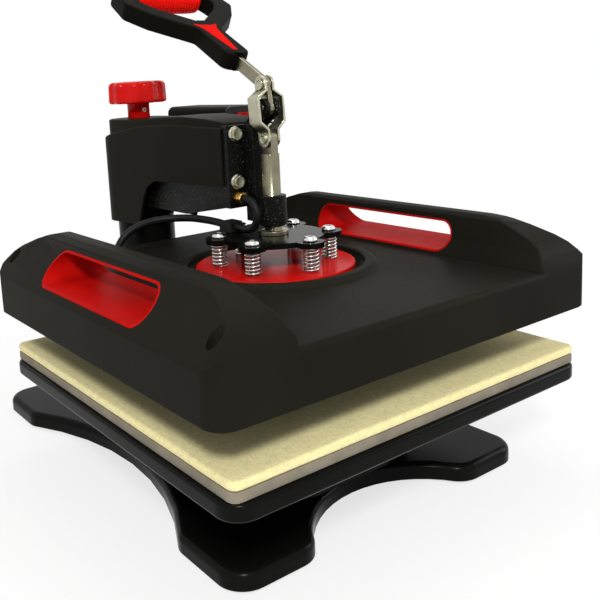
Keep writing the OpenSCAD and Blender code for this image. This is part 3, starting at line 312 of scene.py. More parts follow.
def make_finishes(c):
    """One material for each real finish on the press, from the colours that the panel shows."""
    FINISH.update(
        enamel=stoved_enamel("black_stoved_enamel", c.enamel),
        plate=stoved_enamel("black_enamelled_plate", c.enamel, 0.14),
        spider=stoved_enamel("black_gloss_paint", c.enamel, 0.1),
        casting=sand_cast_paint("painted_sand_casting", c.enamel),
        moulding=grained_abs("grained_black_abs", c.moulding),
        handle=grained_abs("satin_black_nylon", tone(c.moulding, 0.4)),
        red=red_abs("red_abs", c.red),
        liner=red_abs("satin_red_abs", tone(c.red, 0.74), 0.42, 0.02),
        inlay=red_abs("matt_red_abs", tone(c.red, 1.15), 0.5, 0.01),
        grip=red_abs("ribbed_red_vinyl", tone(c.red, 1.55), 0.22, 0.05),
        red_plate=red_powder_coat("red_powder_coat", c.red_plate),
        zinc=plated_steel("zinc_plated_steel", c.zinc, 0.26),
        nickel=plated_steel("nickel_plated_steel", c.nickel, 0.2, (1.0, 6.0, 1.0)),
        chrome=plated_steel("chrome_plated_wire", linear("#d8d7d3"), 0.1),
        brass=plated_steel("turned_brass", c.brass, 0.2),
        bronze=cast_metal("sintered_bronze", linear("#94703f"), 0.42),
        ptfe=smooth_coat("ptfe_coated_aluminium", linear("#2a2723"), 0.42),
        felt=wool_felt("cream_wool_felt", c.felt),
        silicone=sponge_silicone("grey_silicone_sponge", c.silicone),
        rubber=moulded_rubber("black_rubber", linear("#121211")),
        sheath=moulded_rubber("black_cable_sheath", linear("#0d0d0d"), 0.42),
        panel=smooth_coat("smooth_black_abs", linear("#151514"), 0.3),
        lens=smooth_coat("smoked_acrylic", linear("#08090b"), 0.06),
        key=smooth_coat("grey_abs_key", linear("#6d6d6a"), 0.4),
        mica=fibre_board("mica_sheet", linear("#a58c5e")),
        wool=fibre_board("mineral_wool", linear("#cfcdc4")),
        board=smooth_coat("coated_circuit_board", linear("#1d5a33"), 0.35),
    )


# Meshes

def quads(rows, cols, close_rows=False, close_cols=False):
    """Corners of the faces between neighbouring points of a grid, wrapped round where asked."""
    r = np.arange(rows if close_rows else rows - 1)
    c = np.arange(cols if close_cols else cols - 1)
    a, b = np.meshgrid(r, c, indexing="ij")
    a2, b2 = (a + 1) % rows, (b + 1) % cols
    return np.stack([a * cols + b, a * cols + b2, a2 * cols + b2, a2 * cols + b], -1).reshape(-1, 4)


def tidy(mesh):
    """Joins points that lie together, which closes poles and seams, and turns every face outwards."""
    bm = bmesh.new()
    bm.from_mesh(mesh)
    bmesh.ops.remove_doubles(bm, verts=bm.verts, dist=WELD * MM)
    bmesh.ops.dissolve_degenerate(bm, edges=bm.edges, dist=WELD * MM)
    bmesh.ops.recalc_face_normals(bm, faces=bm.faces)
    bm.to_mesh(mesh)
    bm.free()


def piece(name, shells, finish_name, body, node, sharp):
    """One object from closed shells in millimetres; it stands for a node and rides a body if one is given."""
    counts = np.cumsum([0] + [len(v) for v, _ in shells])
    points = np.concatenate([np.asarray(v, float).reshape(-1, 3) for v, _ in shells]) * MM
    faces = [f for (_, fs), start in zip(shells, counts) for f in (np.asarray(fs) + start).tolist()]
    mesh = bpy.data.meshes.new(name)
    mesh.from_pydata(points.tolist(), [], faces)
    tidy(mesh)
    mesh.materials.append(FINISH[finish_name])
    mesh.shade_smooth()
    mesh.set_sharp_from_angle(angle=math.radians(sharp))
    obj = bpy.data.objects.new(name, mesh)
    bpy.context.scene.collection.objects.link(obj)
    settle(obj, body, node)
    return obj


def settle(obj, body, node):
    """Puts a piece on its body, and hides the CAD node that it stands for."""
    if body is not None:
        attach(obj, body)
    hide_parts(node)


def linked(pairs):
    """Groups of things that a chain of pairs joins."""
    group = {}
    for a, b in pairs:
        joined = group.get(a, {a}) | group.get(b, {b})
        group.update(dict.fromkeys(joined, joined))
    return list({id(g): g for g in group.values()}.values())


def crossing(start, run, normal):
    """Width of a flat face at each side: the way from the side's middle, square to it, to the side it meets.

    Each ray is met with all sides at once as a 2 by 2 system, by turning products about the normal."""
    ray = np.cross(normal, run)
    ray /= np.maximum(np.linalg.norm(ray, axis=1, keepdims=True), 1e-12)
    away = start[None] - (start + run / 2)[:, None]
    swept = lambda a, b: np.cross(a, b) @ normal
    with np.errstate(divide="ignore", invalid="ignore"):
        depth = swept(away, run[None]) / swept(ray[:, None], run[None])
        along = swept(away, ray[:, None]) / swept(ray[:, None], run[None])
    met = (along >= 0) & (along <= 1) & (depth > 1e-7)
    return np.where(met, depth, np.inf).min(1)


def plain_outlines(bm, flat=math.radians(0.4)):
    """Joins each flat face's triangles into outlines, and keeps the face's width at each edge as its room.

    A face with holes can't be one outline, so at each hole up to four of the edges that lead to another
    outline are kept, as spokes in four directions."""
    room = bm.edges.layers.float.new("room")
    bm.edges.index_update()
    boundless = 1.0
    for e in bm.edges:
        e[room] = boundless
    level = {e for e in bm.edges if len(e.link_faces) == 2 and e.calc_face_angle() < flat}
    for faces in linked([tuple(e.link_faces) for e in level] + [(f, f) for f in bm.faces]):
        sides = [x for f in faces for x in f.loops if x.edge not in level]
        start = np.array([x.vert.co for x in sides])
        run = np.array([x.link_loop_next.vert.co for x in sides]) - start
        normal = np.array(max(faces, key=lambda f: f.calc_area()).normal)
        for x, reach in zip(sides, crossing(start, run, normal)):
            x.edge[room] = min(x.edge[room], float(reach))
        loops = linked([tuple(x.edge.verts) for x in sides])
        loops.sort(key=lambda loop: np.ptp(np.array([v.co for v in loop]), axis=0).sum())
        ways = sorted({e for f in faces for e in f.edges} & level, key=lambda e: e.index)
        for hole in loops[:-1]:
            spokes = [e for e in ways if (e.verts[0] in hole) != (e.verts[1] in hole)]
            middle = np.mean([v.co for v in hole], axis=0)
            out = np.array([(e.verts[0].co + e.verts[1].co) / 2 for e in spokes]) - middle
            out /= np.linalg.norm(out, axis=1, keepdims=True)
            for way in (out[0], -out[0], np.cross(normal, out[0]), np.cross(out[0], normal)):
                spokes[int(np.argmax((out @ way).round(6)))].seam = True
    bmesh.ops.dissolve_limit(bm, angle_limit=flat, verts=bm.verts, edges=bm.edges, delimit={"SEAM"})


def moulded(node, finish_name, width=0.6, segments=3, limit=28.0, pick=None, spare=2.2):
    """Merged copy of a CAD node with its sharp outer edges rounded by a bevel, where its faces have room.

    pick keeps the rounding to some of the edges, chosen by their midpoints in millimetres; spare is how many
    widths of room an edge needs."""
    mesh = frame["nodes"][node].data.copy()
    name = node + "_finished"
    mesh.name = name
    bm = bmesh.new()
    bm.from_mesh(mesh)
    bmesh.ops.remove_doubles(bm, verts=bm.verts, dist=WELD * MM)
    plain_outlines(bm)
    outer = np.array([e.is_convex for e in bm.edges])
    bm.to_mesh(mesh)
    bm.free()
    mesh.materials.clear()
    mesh.materials.append(FINISH[finish_name])
    mesh.shade_smooth()
    mesh.set_sharp_from_angle(angle=math.radians(limit))
    count = len(mesh.edges)
    sharp = np.zeros(count, bool)
    mesh.attributes["sharp_edge"].data.foreach_get("value", sharp)
    ends = np.empty(2 * count, np.int32)
    mesh.edges.foreach_get("vertices", ends)
    place = np.empty(3 * len(mesh.vertices))
    mesh.vertices.foreach_get("co", place)
    middle = place.reshape(-1, 3)[ends.reshape(-1, 2)].mean(1) / MM
    room = np.empty(count)
    mesh.attributes["room"].data.foreach_get("value", room)
    mesh.attributes.remove(mesh.attributes["room"])
    chosen = sharp & outer & (room / MM > spare * width)
    if pick is not None:
        chosen &= pick(middle)
    mesh.attributes["sharp_edge"].data.foreach_set("value", sharp & ~chosen)
    weight = mesh.attributes.new("bevel_weight_edge", "FLOAT", "EDGE")
    weight.data.foreach_set("value", chosen.astype(np.float32))
    obj = bpy.data.objects.new(name, mesh)
    bpy.context.scene.collection.objects.link(obj)
    soft = obj.modifiers.new("rounded edges", "BEVEL")
    soft.limit_method = "WEIGHT"
    soft.width = width * MM
    soft.segments = segments
    soft.use_clamp_overlap = False
    obj.modifiers.new("joined points", "WELD").merge_threshold = 10 * WELD * MM
    even = obj.modifiers.new("even shading", "WEIGHTED_NORMAL")
    even.keep_sharp = True
    settle(obj, BODY[node], node)


def paint(node, finish_name):
    """Gives a CAD node whose shape is right a finish, and leaves its mesh alone."""
    slots = frame["nodes"][node].data.materials
    slots.clear()
    slots.append(FINISH[finish_name])


# Surfaces as arrays of points

def turn(n):
    """Angles of n points spread evenly round a circle."""
    return np.arange(n) * 2 * np.pi / n


def turned(profile, n, spots, axis="z", bored=False):
    """Shells of a profile turned about Z, one at each spot with its Z axis along another one.

    The profile is pairs of a radius, one for all angles or one for each, and a height. A bored shape joins
    its last row to its first, which makes the wall of the hole through it."""
    a = turn(n)
    r = np.stack([np.broadcast_to(np.asarray(x, float), n) for x, _ in profile])
    z = np.broadcast_to(np.array([float(h) for _, h in profile])[:, None], r.shape)
    along = {"z": np.eye(3), "x": np.array([[0, 0, 1], [0, 1, 0], [-1, 0, 0.0]]),
             "-y": np.array([[1, 0, 0], [0, 0, -1], [0, 1, 0.0]])}[axis]
    points = np.stack([r * np.cos(a), r * np.sin(a), z], -1).reshape(-1, 3) @ along.T
    return [(points + np.asarray(spot, float), quads(len(r), n, bored, True)) for spot in spots]


def six_sided(flat, n):
    """Radius of a hexagon round the circle: half its width over the cosine from the nearest flat."""
    return flat / np.cos((turn(n) + np.pi / 6) % (np.pi / 3) - np.pi / 6)


def smooth_run(points, steps):
    """Curve through given points: a Catmull-Rom cubic between each two of them."""
    p = np.asarray(points, float)
    p = np.concatenate([2 * p[:1] - p[1:2], p, 2 * p[-1:] - p[-2:-1]])
    t = np.linspace(0, 1, steps, endpoint=False)[None, :, None]
    a, b, c, d = (p[i:len(p) - 3 + i, None, :] for i in range(4))
    q = 0.5 * (2 * b + (c - a) * t + (2 * a - 5 * b + 4 * c - d) * t ** 2 + (3 * b - a - 3 * c + d) * t ** 3)
    return np.concatenate([q.reshape(-1, 3), p[-2:-1]])


def tube(path, radius, sides, guide):
    """Circle carried along a path: each ring stands square to the run, and the guide sets where it starts."""
    run = np.gradient(path, axis=0)
    run /= np.linalg.norm(run, axis=1, keepdims=True)
    side = np.cross(run, np.asarray(guide, float))
    side /= np.linalg.norm(side, axis=1, keepdims=True)
    up = np.cross(run, side)
    a = turn(sides)[None, :, None]
    r = np.broadcast_to(np.asarray(radius, float), len(path))[:, None, None]
    body = path[:, None, :] + r * (np.cos(a) * side[:, None, :] + np.sin(a) * up[:, None, :])
    first, last = (np.repeat(p[None, None, :], sides, 1) for p in (path[0], path[-1]))
    shut = np.concatenate([first, body, last])
    return shut.reshape(-1, 3), quads(len(shut), sides, close_cols=True)


def round_square(w, d, r, n):
    """Rectangle with round corners as n points spaced evenly along it, with the outward direction at each."""
    q = np.linspace(0, np.pi / 2, 24)
    angle = (q[None, :] + np.arange(4)[:, None] * np.pi / 2).ravel()
    centres = np.array([[1, 1], [-1, 1], [-1, -1], [1, -1]]) * [w / 2 - r, d / 2 - r]
    middle = np.repeat(centres, len(q), axis=0)
    out = np.stack([np.cos(angle), np.sin(angle)], -1)
    p = middle + r * out
    loop = np.concatenate([p, p[:1]])
    far = np.concatenate([[0], np.cumsum(np.linalg.norm(np.diff(loop, axis=0), axis=1))])
    s = np.linspace(0, far[-1], n, endpoint=False)
    pick = lambda v: np.stack([np.interp(s, far, np.append(v[:, i], v[0, i])) for i in (0, 1)], -1)
    normal = pick(out)
    return pick(p), normal / np.linalg.norm(normal, axis=1, keepdims=True)


# What a user would change

def colour(label, about, text):
    """A colour setting, with its default as an sRGB hex value."""
    return FloatVectorProperty(name=label, description=about, subtype="COLOR", size=4, min=0, max=1,
                               default=linear(text))


def millimetres(label, about, default, low, high):
    """A size setting in millimetres."""
    return FloatProperty(name=label, description=about + ", mm", default=default, min=low, max=high)


class PressColours(bpy.types.PropertyGroup):
    """Colours of the press's finishes."""
    enamel: colour("Enamel", "Black enamel of base, post and castings", "#0c0c0b")
    moulding: colour("Covers", "Grained black mouldings of head, arm and box", "#1a1914")
    red: colour("Red mouldings", "Knob, grip, inlay and slot liners", "#c4100b")
    red_plate: colour("Pressure plate", "Powder coat of the round plate", "#b80d09")
    felt: colour("Felt", "Cream wool felt of the bed", "#eadea4")
    silicone: colour("Silicone", "Grey sponge under the felt", "#7d7566")
    zinc: colour("Zinc", "Plated bolts and links", "#b6b49e")
    nickel: colour("Nickel", "Lever bar and plunger", "#8a8570")
    brass: colour("Brass", "Cable gland", "#c09c58")


class PressSizes(bpy.types.PropertyGroup):
    """Sizes of details that the solids leave plain, in millimetres."""
    cover_edge: millimetres("Cover edges", "Rounding of the head cover's edges", 1.3, 0.3, 1.5)
    plate_edge: millimetres("Plate edges", "Rounding of the lower plate's edges", 3.2, 0.5, 4.5)
    base_edge: millimetres("Base edges", "Rounding of the base casting's upper edge", 6.5, 0.5, 7.0)
    handle_edge: millimetres("Handle edges", "Rounding of the handle's edges", 2.0, 0.5, 5.0)
    spring_wire: millimetres("Spring wire", "Wire diameter of the springs", 2.0, 1.4, 2.4)
    cable: millimetres("Heater lead", "Diameter of the heater lead", 7.5, 6.0, 7.5)
    spring_turns: FloatProperty(name="Spring turns", description="Turns of each spring, ends included",
                                default=6.5, min=4.0, max=8.0)
    ribs: IntProperty(name="Grip ribs", description="Ribs along the hand grip", default=24, min=12, max=40)
    lobes: IntProperty(name="Knob lobes", description="Scallops round the knob", default=10, min=6, max=14)


# Building steps, one operator for each group of pieces

class PressOperator:
    """What the operators share: the panel's colours and sizes."""
    bl_options = {"REGISTER", "UNDO"}

    @property
    def sizes(self):
        return bpy.context.scene.press_sizes

    @property
    def colours(self):
        return bpy.context.scene.press_colours


class PRESS_OT_finishes(PressOperator, bpy.types.Operator):
    """Makes one material for each finish on the press"""
    bl_idname = "press.finishes"
    bl_label = "Finishes"

    def execute(self, context):
        make_finishes(self.colours)
        return {"FINISHED"}


class PRESS_OT_cables(PressOperator, bpy.types.Operator):
    """Lays the heater lead: from the gland down to the clip, and from the clip over to the deck's grommet"""
    bl_idname = "press.cables"
    bl_label = "Heater lead"

    def execute(self, context):
        r = self.sizes.cable / 2
        clip = np.array([-19.5, 42.0, SPIDER_TOP + 5.5])
        clip_half = 8.0
        front = clip[1] - clip_half
        loop = [[clip[0], front + 0.6, clip[2]], clip, clip + [0, 9, 0], [-20.5, 62, 232], [-23.5, 78, 233],
                [-31, 96, 234], [-44, 110, 234], [-60, 119, 233], [-78, 123, 229], [-92, 125, 221],
                [-100, 126, 210], [-101, 126, 202], [-101, 126, 190.3]]
        gland = np.array([-20.5, 15.0, 260.0])
        bend, a = (gland[2] - clip[2]) / 2, np.linspace(0, np.pi, 7)
        arc = gland + np.stack([2 * np.sin(a) + a / np.pi, -bend * np.sin(a), -bend * (1 - np.cos(a))], -1)
        drop = [*arc, [clip[0], front - 8, clip[2]], [clip[0], front - 0.6, clip[2]]]
        at_bed = np.array([0, BED_Y, 0])
        leads = (("cable_loop", loop, (0.577, 0.577, -0.577)), ("cable_drop", drop, (1, 0, 0)))
        for name, points, guide in leads:
            path = smooth_run(points, 6) + at_bed
            shell = tube(path, r, 18, guide)
            body = "plunger_body" if name == "cable_loop" else None
            lead = piece(name + "_sheath", [shell], "sheath", body, name, 50)
            if body is None:
                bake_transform(lead)
        moulded("cable_clip", "rubber", 1.2)
        moulded("cable_gland", "brass", 0.4)
        moulded("cable_grommet", "rubber", 0.4)
        return {"FINISHED"}


class PRESS_OT_base(PressOperator, bpy.types.Operator):
    """Dresses the cast base, its feet, the pedestal and the post"""
    bl_idname = "press.base"
    bl_label = "Base and post"

    def execute(self, context):
        top = corners("base_casting")[1][2]
        # Reach of the post's flange, and the pedestal bolts' places from the bed's middle with their room
        flange_r = 58.0
        bolt_x, bolt_y, bolt_r = 65.0, 80.0, 9.0

        def upper_outline(m):
            """Edges of the upper face, apart from the bolt holes under the pedestal and the post."""
            far_post = np.hypot(m[:, 0], m[:, 1] - POST_Y) > flange_r
            far_bolt = np.hypot(np.abs(m[:, 0]) - bolt_x, np.abs(m[:, 1] - BED_Y) - bolt_y) > bolt_r
            return (m[:, 2] > top - 0.2) & far_post & far_bolt

        moulded("base_casting", "enamel", self.sizes.base_edge, 5, pick=upper_outline)
        paint("pedestal", "enamel")
        moulded("post_column", "enamel", 1.0)
        moulded("rubber_feet", "rubber", 0.8)
        for node in ("pedestal_bolts", "post_bolts", "platen_bolts"):
            moulded(node, "zinc", 0.4, 2)
        moulded("post_bushes", "bronze", 0.4, 2)
        moulded("thrust_washer", "bronze", 0.3, 2)
        return {"FINISHED"}


def sheet_pad(w, d, r, low, high, edge, wave, n=360):
    """Closed pad: a round-cornered outline swept from its underside's middle over the edge to its top's.

    Each row scales the outline towards the middle or draws it in by an inset, and lifts it; wave adds a slow
    unevenness of that height to the top and the cut edge, from crossed sine waves."""
    outline, normal = round_square(w, d, r, n)
    q = np.linspace(0, np.pi / 2, 6)
    inner = np.linspace(0.0, 0.96, 24)
    zero = np.zeros(len(inner))
    scale = np.concatenate([inner, np.ones(2 * len(q)), inner[::-1]])
    inset = np.concatenate([zero, edge * (1 - np.sin(q)), edge * (1 - np.cos(q)), zero])
    z = np.concatenate([zero + low, low + edge * (1 - np.cos(q)), high - edge * (1 - np.sin(q)), zero + high])
    flat = scale[:, None, None] * (outline[None] - inset[:, None, None] * normal[None])
    x, y = flat[..., 0], flat[..., 1]
    ripple = np.sin(x / 31 + 1.3 * np.sin(y / 47)) + np.sin(y / 26 - 0.7) * np.sin(x / 58 + 2)
    ripple = (ripple + np.sin((x + y) / 19)) / 3
    rise = np.clip((z[:, None] - low) / (high - low), 0, 1)
    height = z[:, None] - wave * rise * (1 + ripple)
    lateral = 1 - (wave * 0.5 * (1 + np.sin(x / 9 + y / 13)) / w)
    points = np.stack([x * lateral, y * lateral + BED_Y, height], -1)
    return points.reshape(-1, 3), quads(len(scale), n, close_cols=True)


class PRESS_OT_bed(PressOperator, bpy.types.Operator):
    """Lays the silicone sponge and the wool felt on the enamelled lower plate"""
    bl_idname = "press.bed"
    bl_label = "Bed"

    def execute(self, context):
        # Edges farther out than the rim are the plate's outside; the corner is the pads' radius
        rim, corner = 170.0, 7.0
        outside = lambda m: np.maximum(np.abs(m[:, 0]), np.abs(m[:, 1] - BED_Y)) > rim
        moulded("lower_platen", "plate", self.sizes.plate_edge, 5, pick=outside)
        pads = (("silicone_pad", "silicone", 1.0, 0.15), ("felt_pad", "felt", 2.6, 0.35))
        for node, finish_name, edge, wave in pads:
            low, high = corners(node)
            shell = sheet_pad(high[0] - low[0], high[1] - low[1], corner, low[2], high[2], edge, wave)
            pad = piece(node + "_sheet", [shell], finish_name, BODY[node], node, 60)
        return {"FINISHED"}


class PRESS_OT_arm(PressOperator, bpy.types.Operator):
    """Dresses the swinging arm: its casting, cover, front bracket and bolts"""
    bl_idname = "press.arm"
    bl_label = "Arm"

    def execute(self, context):
        # Front face of the bracket's flange, half of its middle, and the foot of the cover's rounded edges
        flange, middle_x, shoulder = BED_Y + 27, 14.0, 300.0

        def front_edges(m):
            """Edges in front of the flange, and the flange's own away from its middle."""
            x, y = np.abs(m[:, 0]), m[:, 1]
            return (y < flange - 2) | ((y < flange + 7) & (x > middle_x))

        paint("arm_casting", "casting")
        moulded("arm_cover", "moulding", 2.2, 4, pick=lambda m: m[:, 2] > shoulder)
        moulded("front_bracket", "casting", 0.8, pick=front_edges)
        moulded("lever_pin", "nickel", 0.5, 2)
        paint("pivot_shaft", "nickel")
        n = 72
        hexagon = six_sided(5.5, n)
        profile = [(0, -30.0), (4.0, -30.0), (4.0, 0), (7.1, 0), (7.3, 0.5), (7.1, 1.3), (hexagon + 0.5, 1.7),
                   (hexagon, 2.1), (hexagon, 4.6), (np.minimum(hexagon, 5.95), 5.0), (5.3, 5.25), (4.2, 5.25),
                   (3.4, 5.0), (0, 5.0)]
        spots = [(x, flange, z) for x in (-20, 20) for z in (275, 320)]
        piece("front_flange_bolts", turned(profile, n, spots, "-y"), "zinc", "arm_body", "front_bolts", 32)
        return {"FINISHED"}


class PRESS_OT_box(PressOperator, bpy.types.Operator):
    """Dresses the control box with its panel, window, keys, switch and inlet"""
    bl_idname = "press.box"
    bl_label = "Control box"

    def execute(self, context):
        low, high = corners("box_shell")
        # Middle and size of the field that holds the inlet's opening
        inlet_x, inlet_z, inlet_w, inlet_h = 74.0, low[2] + 26, 40.0, 32.0

        def rear_edges(m):
            """Edges round the rear face, apart from the inlet's opening."""
            inlet = (np.abs(m[:, 0] - inlet_x) < inlet_w / 2) & (np.abs(m[:, 2] - inlet_z) < inlet_h / 2)
            return (m[:, 1] > high[1] - 0.5) & ~inlet

        moulded("box_shell", "moulding", 2.0, 4, pick=rear_edges)
        moulded("box_panel", "panel", 0.4)
        moulded("display_lens", "lens", 0.4, 2)
        moulded("mains_inlet", "panel", 0.6)
        for node in ("up_button", "down_button", "set_button"):
            moulded(node, "key", 0.6)
        moulded("power_rocker", "red", 0.6)
        moulded("box_standoffs", "zinc", 0.4, 2)
        paint("circuit_board", "board")
        return {"FINISHED"}


class PRESS_OT_knob(PressOperator, bpy.types.Operator):
    """Forms the scalloped pressure knob on its stem, with the screw and nut below it"""
    bl_idname = "press.knob"
    bl_label = "Pressure knob"

    def execute(self, context):
        low, high = corners("pressure_knob")
        rod = corners("knob_rod")[1][2]
        rod_in_head = 16.0
        top, under, stem = high[2], rod - rod_in_head, low[2]
        # Rim: a round cutter that stands outside it cuts each scallop, and a smooth minimum blunts the lobes
        n = 48 * self.sizes.lobes
        lobe = 2 * np.pi / self.sizes.lobes
        from_scallop = np.abs((turn(n) + lobe / 2) % lobe - lobe / 2)
        full = (high[1] - low[1]) / 2 - 0.1
        cutter, cutter_out, blunt, clear = 12.0, 9.0, 1.4, 60.0
        away = full + cutter_out
        across = away * np.sin(from_scallop)
        dip = np.sqrt(np.maximum(cutter ** 2 - across ** 2, 0))
        scallop = np.where(across < cutter, away * np.cos(from_scallop) - dip, clear)
        rim = -np.log(np.exp(-scallop * blunt) + np.exp(-full * blunt)) / blunt
        # Profile: stem, underside, rounded lower edge, leaning side, rounded upper edge and a domed top
        low_edge, high_edge, inset, lean, dome = 3.2, 6.0, 0.8, 0.5, 0.4
        q = np.linspace(0, np.pi / 2, 7)
        wall = top - under - low_edge - high_edge
        foot = [(0, rod), (6.0, rod), (6.0, stem), (12.4, stem), (12.8, stem + 0.5), (12.8, under - 1.5),
                (13.6, under), (15.0, under), (26.0, under)]
        skirt = [(rim - inset - low_edge * (1 - np.sin(t)), under + low_edge * (1 - np.cos(t))) for t in q]
        side = [(rim - inset - lean * t, under + low_edge + t * wall) for t in np.linspace(0.1, 1, 5)]
        crown = [(rim - inset - lean - high_edge * (1 - np.cos(t)),
                  top - high_edge + (high_edge - dome) * np.sin(t)) for t in q[1:]]
        cap = [(rim * t, top - dome * t ** 2) for t in (0.7, 0.55, 0.4, 0.2, 0)]
        shells = turned(foot + skirt + side + crown + cap, n, [(0, POST_Y, 0)])
        piece("scalloped_knob", shells, "red", "knob_body", "pressure_knob", 55)
        moulded("knob_set_screw", "zinc", 0.25, 2)
        paint("knob_rod", "nickel")
        paint("pressure_nut", "zinc")
        return {"FINISHED"}


# The lever's own axes: its crank pin, the handle's run and the way up from it
PIVOT = np.array([0, BED_Y, 343.0])
CRANK_ARM = 22.0
LEAN, TILT = math.radians(10), math.radians(29)
CRANK = PIVOT + CRANK_ARM * np.array([0, math.sin(LEAN), math.cos(LEAN)])
ALONG = np.array([0, math.cos(TILT), math.sin(TILT)])
ABOVE = np.array([0, -math.sin(TILT), math.cos(TILT)])


class PRESS_OT_lever(PressOperator, bpy.types.Operator):
    """Dresses the lever: bar, forked handle with its inlay, and the ribbed grip"""
    bl_idname = "press.lever"
    bl_label = "Lever and handle"

    def execute(self, context):
        moulded("lever_bar", "nickel", 0.9)
        low, high = corners("crank_pin")
        out, mid = high[0], (low + high) / 2
        head = [(4.0, 1.5), (5.2, 1.5), (5.2, 0.35), (4.9, 0.08), (4.3, 0), (3.4, 0.2), (2.8, 0.7), (0, 0.8)]
        right = [(r, out - depth) for r, depth in head]
        left = [(r, -x) for r, x in right[::-1]]
        pin = turned(left + right, 64, [mid], "x")
        piece("headed_crank_pin", pin, "zinc", BODY["crank_pin"], "crank_pin", 32)

        # The inlay's pocket along the handle from the crank pin, its half widths, and half of the bar's slot
        pocket_floor, pocket_start, pocket_end, flare = 5.0, 51.0, 114.0, 100.0
        slim, wide, bar_slot = 13.4, 15.2, 3.2

        def outer(m):
            """Edges of the fork, apart from the inlay's pocket and the bar's slot."""
            u, t = (m - CRANK) @ ALONG, (m - CRANK) @ ABOVE
            v = np.abs(m[:, 0])
            pocket = (t > pocket_floor) & (u > pocket_start) & (u < pocket_end)
            pocket &= v < np.where(u > flare, wide, slim)
            return ~pocket & (v > bar_slot)

        moulded("handle_frame", "handle", self.sizes.handle_edge, 2, pick=outer)
        moulded("handle_inlay", "inlay", 0.4, 2)
        # Half length of the grip, its radius and taper, its bore and end face, and its way from the crank pin
        half, belly, taper, bore, collar, reach = 39.0, 14.5, 1.3, 8.0, 11.4, 192.0
        x = np.linspace(-half, half, 14 * self.sizes.ribs + 1)
        barrel = belly - taper * (x / half) ** 4
        rib_depth, rib_flat, end_run, end_drop = 0.5, 0.3, 3.0, 1.2
        rib = rib_depth * np.cos(2 * np.pi * self.sizes.ribs * (x + half) / (2 * half))
        fade = np.clip((half - np.abs(x)) / end_run, 0, 1)
        skin = barrel + np.minimum(rib, rib_flat) * fade - end_drop * (1 - fade) ** 2
        profile = [(bore, -half), (collar, -half), *zip(skin, x), (collar, half), (bore, half)]
        grip = turned(profile, 96, [CRANK + reach * ALONG], "x", True)
        piece("ribbed_grip", grip, "grip", "handle_body", "hand_grip", 50)
        return {"FINISHED"}


class PRESS_OT_links(PressOperator, bpy.types.Operator):
    """Dresses the two bent toggle links and their rivets"""
    bl_idname = "press.links"
    bl_label = "Toggle links"

    def execute(self, context):
        moulded("left_link", "zinc", 0.45, 2)
        moulded("right_link", "zinc", 0.45, 2)
        low, high = corners("link_rivets")
        out, mid = high[0], (low + high) / 2
        head = [(0, 4.0), (3.0, 4.0), (3.0, 1.6), (4.6, 1.6), (4.6, 0.4), (4.35, 0.1), (3.8, 0), (3.0, 0.2),
                (2.4, 0.7), (0, 0.8)]
        left, right = (turned([(r, s * (out - depth)) for r, depth in head], 64, [mid], "x") for s in (-1, 1))
        piece("dimpled_rivets", left + right, "zinc", BODY["link_rivets"], "link_rivets", 32)
        return {"FINISHED"}


def ring_spots(radius, count, start):
    """Places spread evenly on a circle about the plunger, from a start angle in degrees."""
    a = math.radians(start) + turn(count)
    return np.stack([radius * np.cos(a), BED_Y + radius * np.sin(a), np.zeros(count)], -1)


class PRESS_OT_plunger(PressOperator, bpy.types.Operator):
    """Dresses the plunger and the six-lobed spider, and winds the springs"""
    bl_idname = "press.plunger"
    bl_label = "Plunger and springs"

    def execute(self, context):
        moulded("plunger", "nickel", 0.5)
        paint("spider_plate", "spider")
        moulded("spider_nut", "zinc", 0.5, 2)
        wire = self.sizes.spring_wire / 2
        turns = self.sizes.spring_turns
        # Turns that lie closed at each end, the share of the wire that they climb, and the coil's radius
        end, climb, coil = 0.8, 0.9, 6.6
        t = np.linspace(0, turns, int(turns * 30) + 1)
        rise = np.clip((t - end) / (turns - 2 * end), 0, 1)
        closed = climb * np.clip(t / end, 0, 1) + climb * np.clip((t - turns + end) / end, 0, 1)
        height = RED_TOP + wire + closed * 2 * wire
        height += rise * (SPIDER_Z - RED_TOP - 2 * wire - 4 * climb * wire)
        shells = []
        for i, spot in enumerate(ring_spots(*SPRING_RING)):
            a = 2 * np.pi * t + 2.1 * i
            path = np.stack([coil * np.cos(a), coil * np.sin(a), height], -1) + spot
            shells.append(tube(path, wire, 12, (0, 0, 1)))
        coils = piece("wound_springs", shells, "chrome", "plunger_body", "springs", 60)
        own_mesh(coils)
        return {"FINISHED"}


class PRESS_OT_platen(PressOperator, bpy.types.Operator):
    """Dresses the sprung platen: red plate, spring bolts, pillars and the heated platen"""
    bl_idname = "press.platen"
    bl_label = "Sprung platen"

    def execute(self, context):
        moulded("pressure_plate", "red_plate", 1.2, 4)
        n = 72
        recess = six_sided(2.0, n)
        q = np.linspace(0, np.pi / 2, 7)
        shank = [(0, RED_Z), (2.6, RED_Z), (3.0, RED_Z + 0.4)]
        rim = [(3.0, 0.1), (6.2, 0.1), (6.5, 0.5)]
        dome = [(6.5 - 3.4 * (1 - math.cos(t)), 1.3 + 3.1 * math.sin(t)) for t in q]
        socket = [(recess + 0.35, 4.35), (recess, 4.0), (recess, 2.0), (0, 1.8)]
        head = [(r, SPIDER_TOP + z) for r, z in rim + dome + socket]
        screws = turned(shank + head, n, ring_spots(*SPRING_RING))
        piece("spring_screws", screws, "chrome", "platen_body", "spring_bolts", 40)
        moulded("platen_pillars", "zinc", 0.4, 2)
        paint("heat_platen", "ptfe")
        paint("heater_sheet", "mica")
        paint("insulation", "wool")
        paint("thermocouple", "nickel")
        return {"FINISHED"}


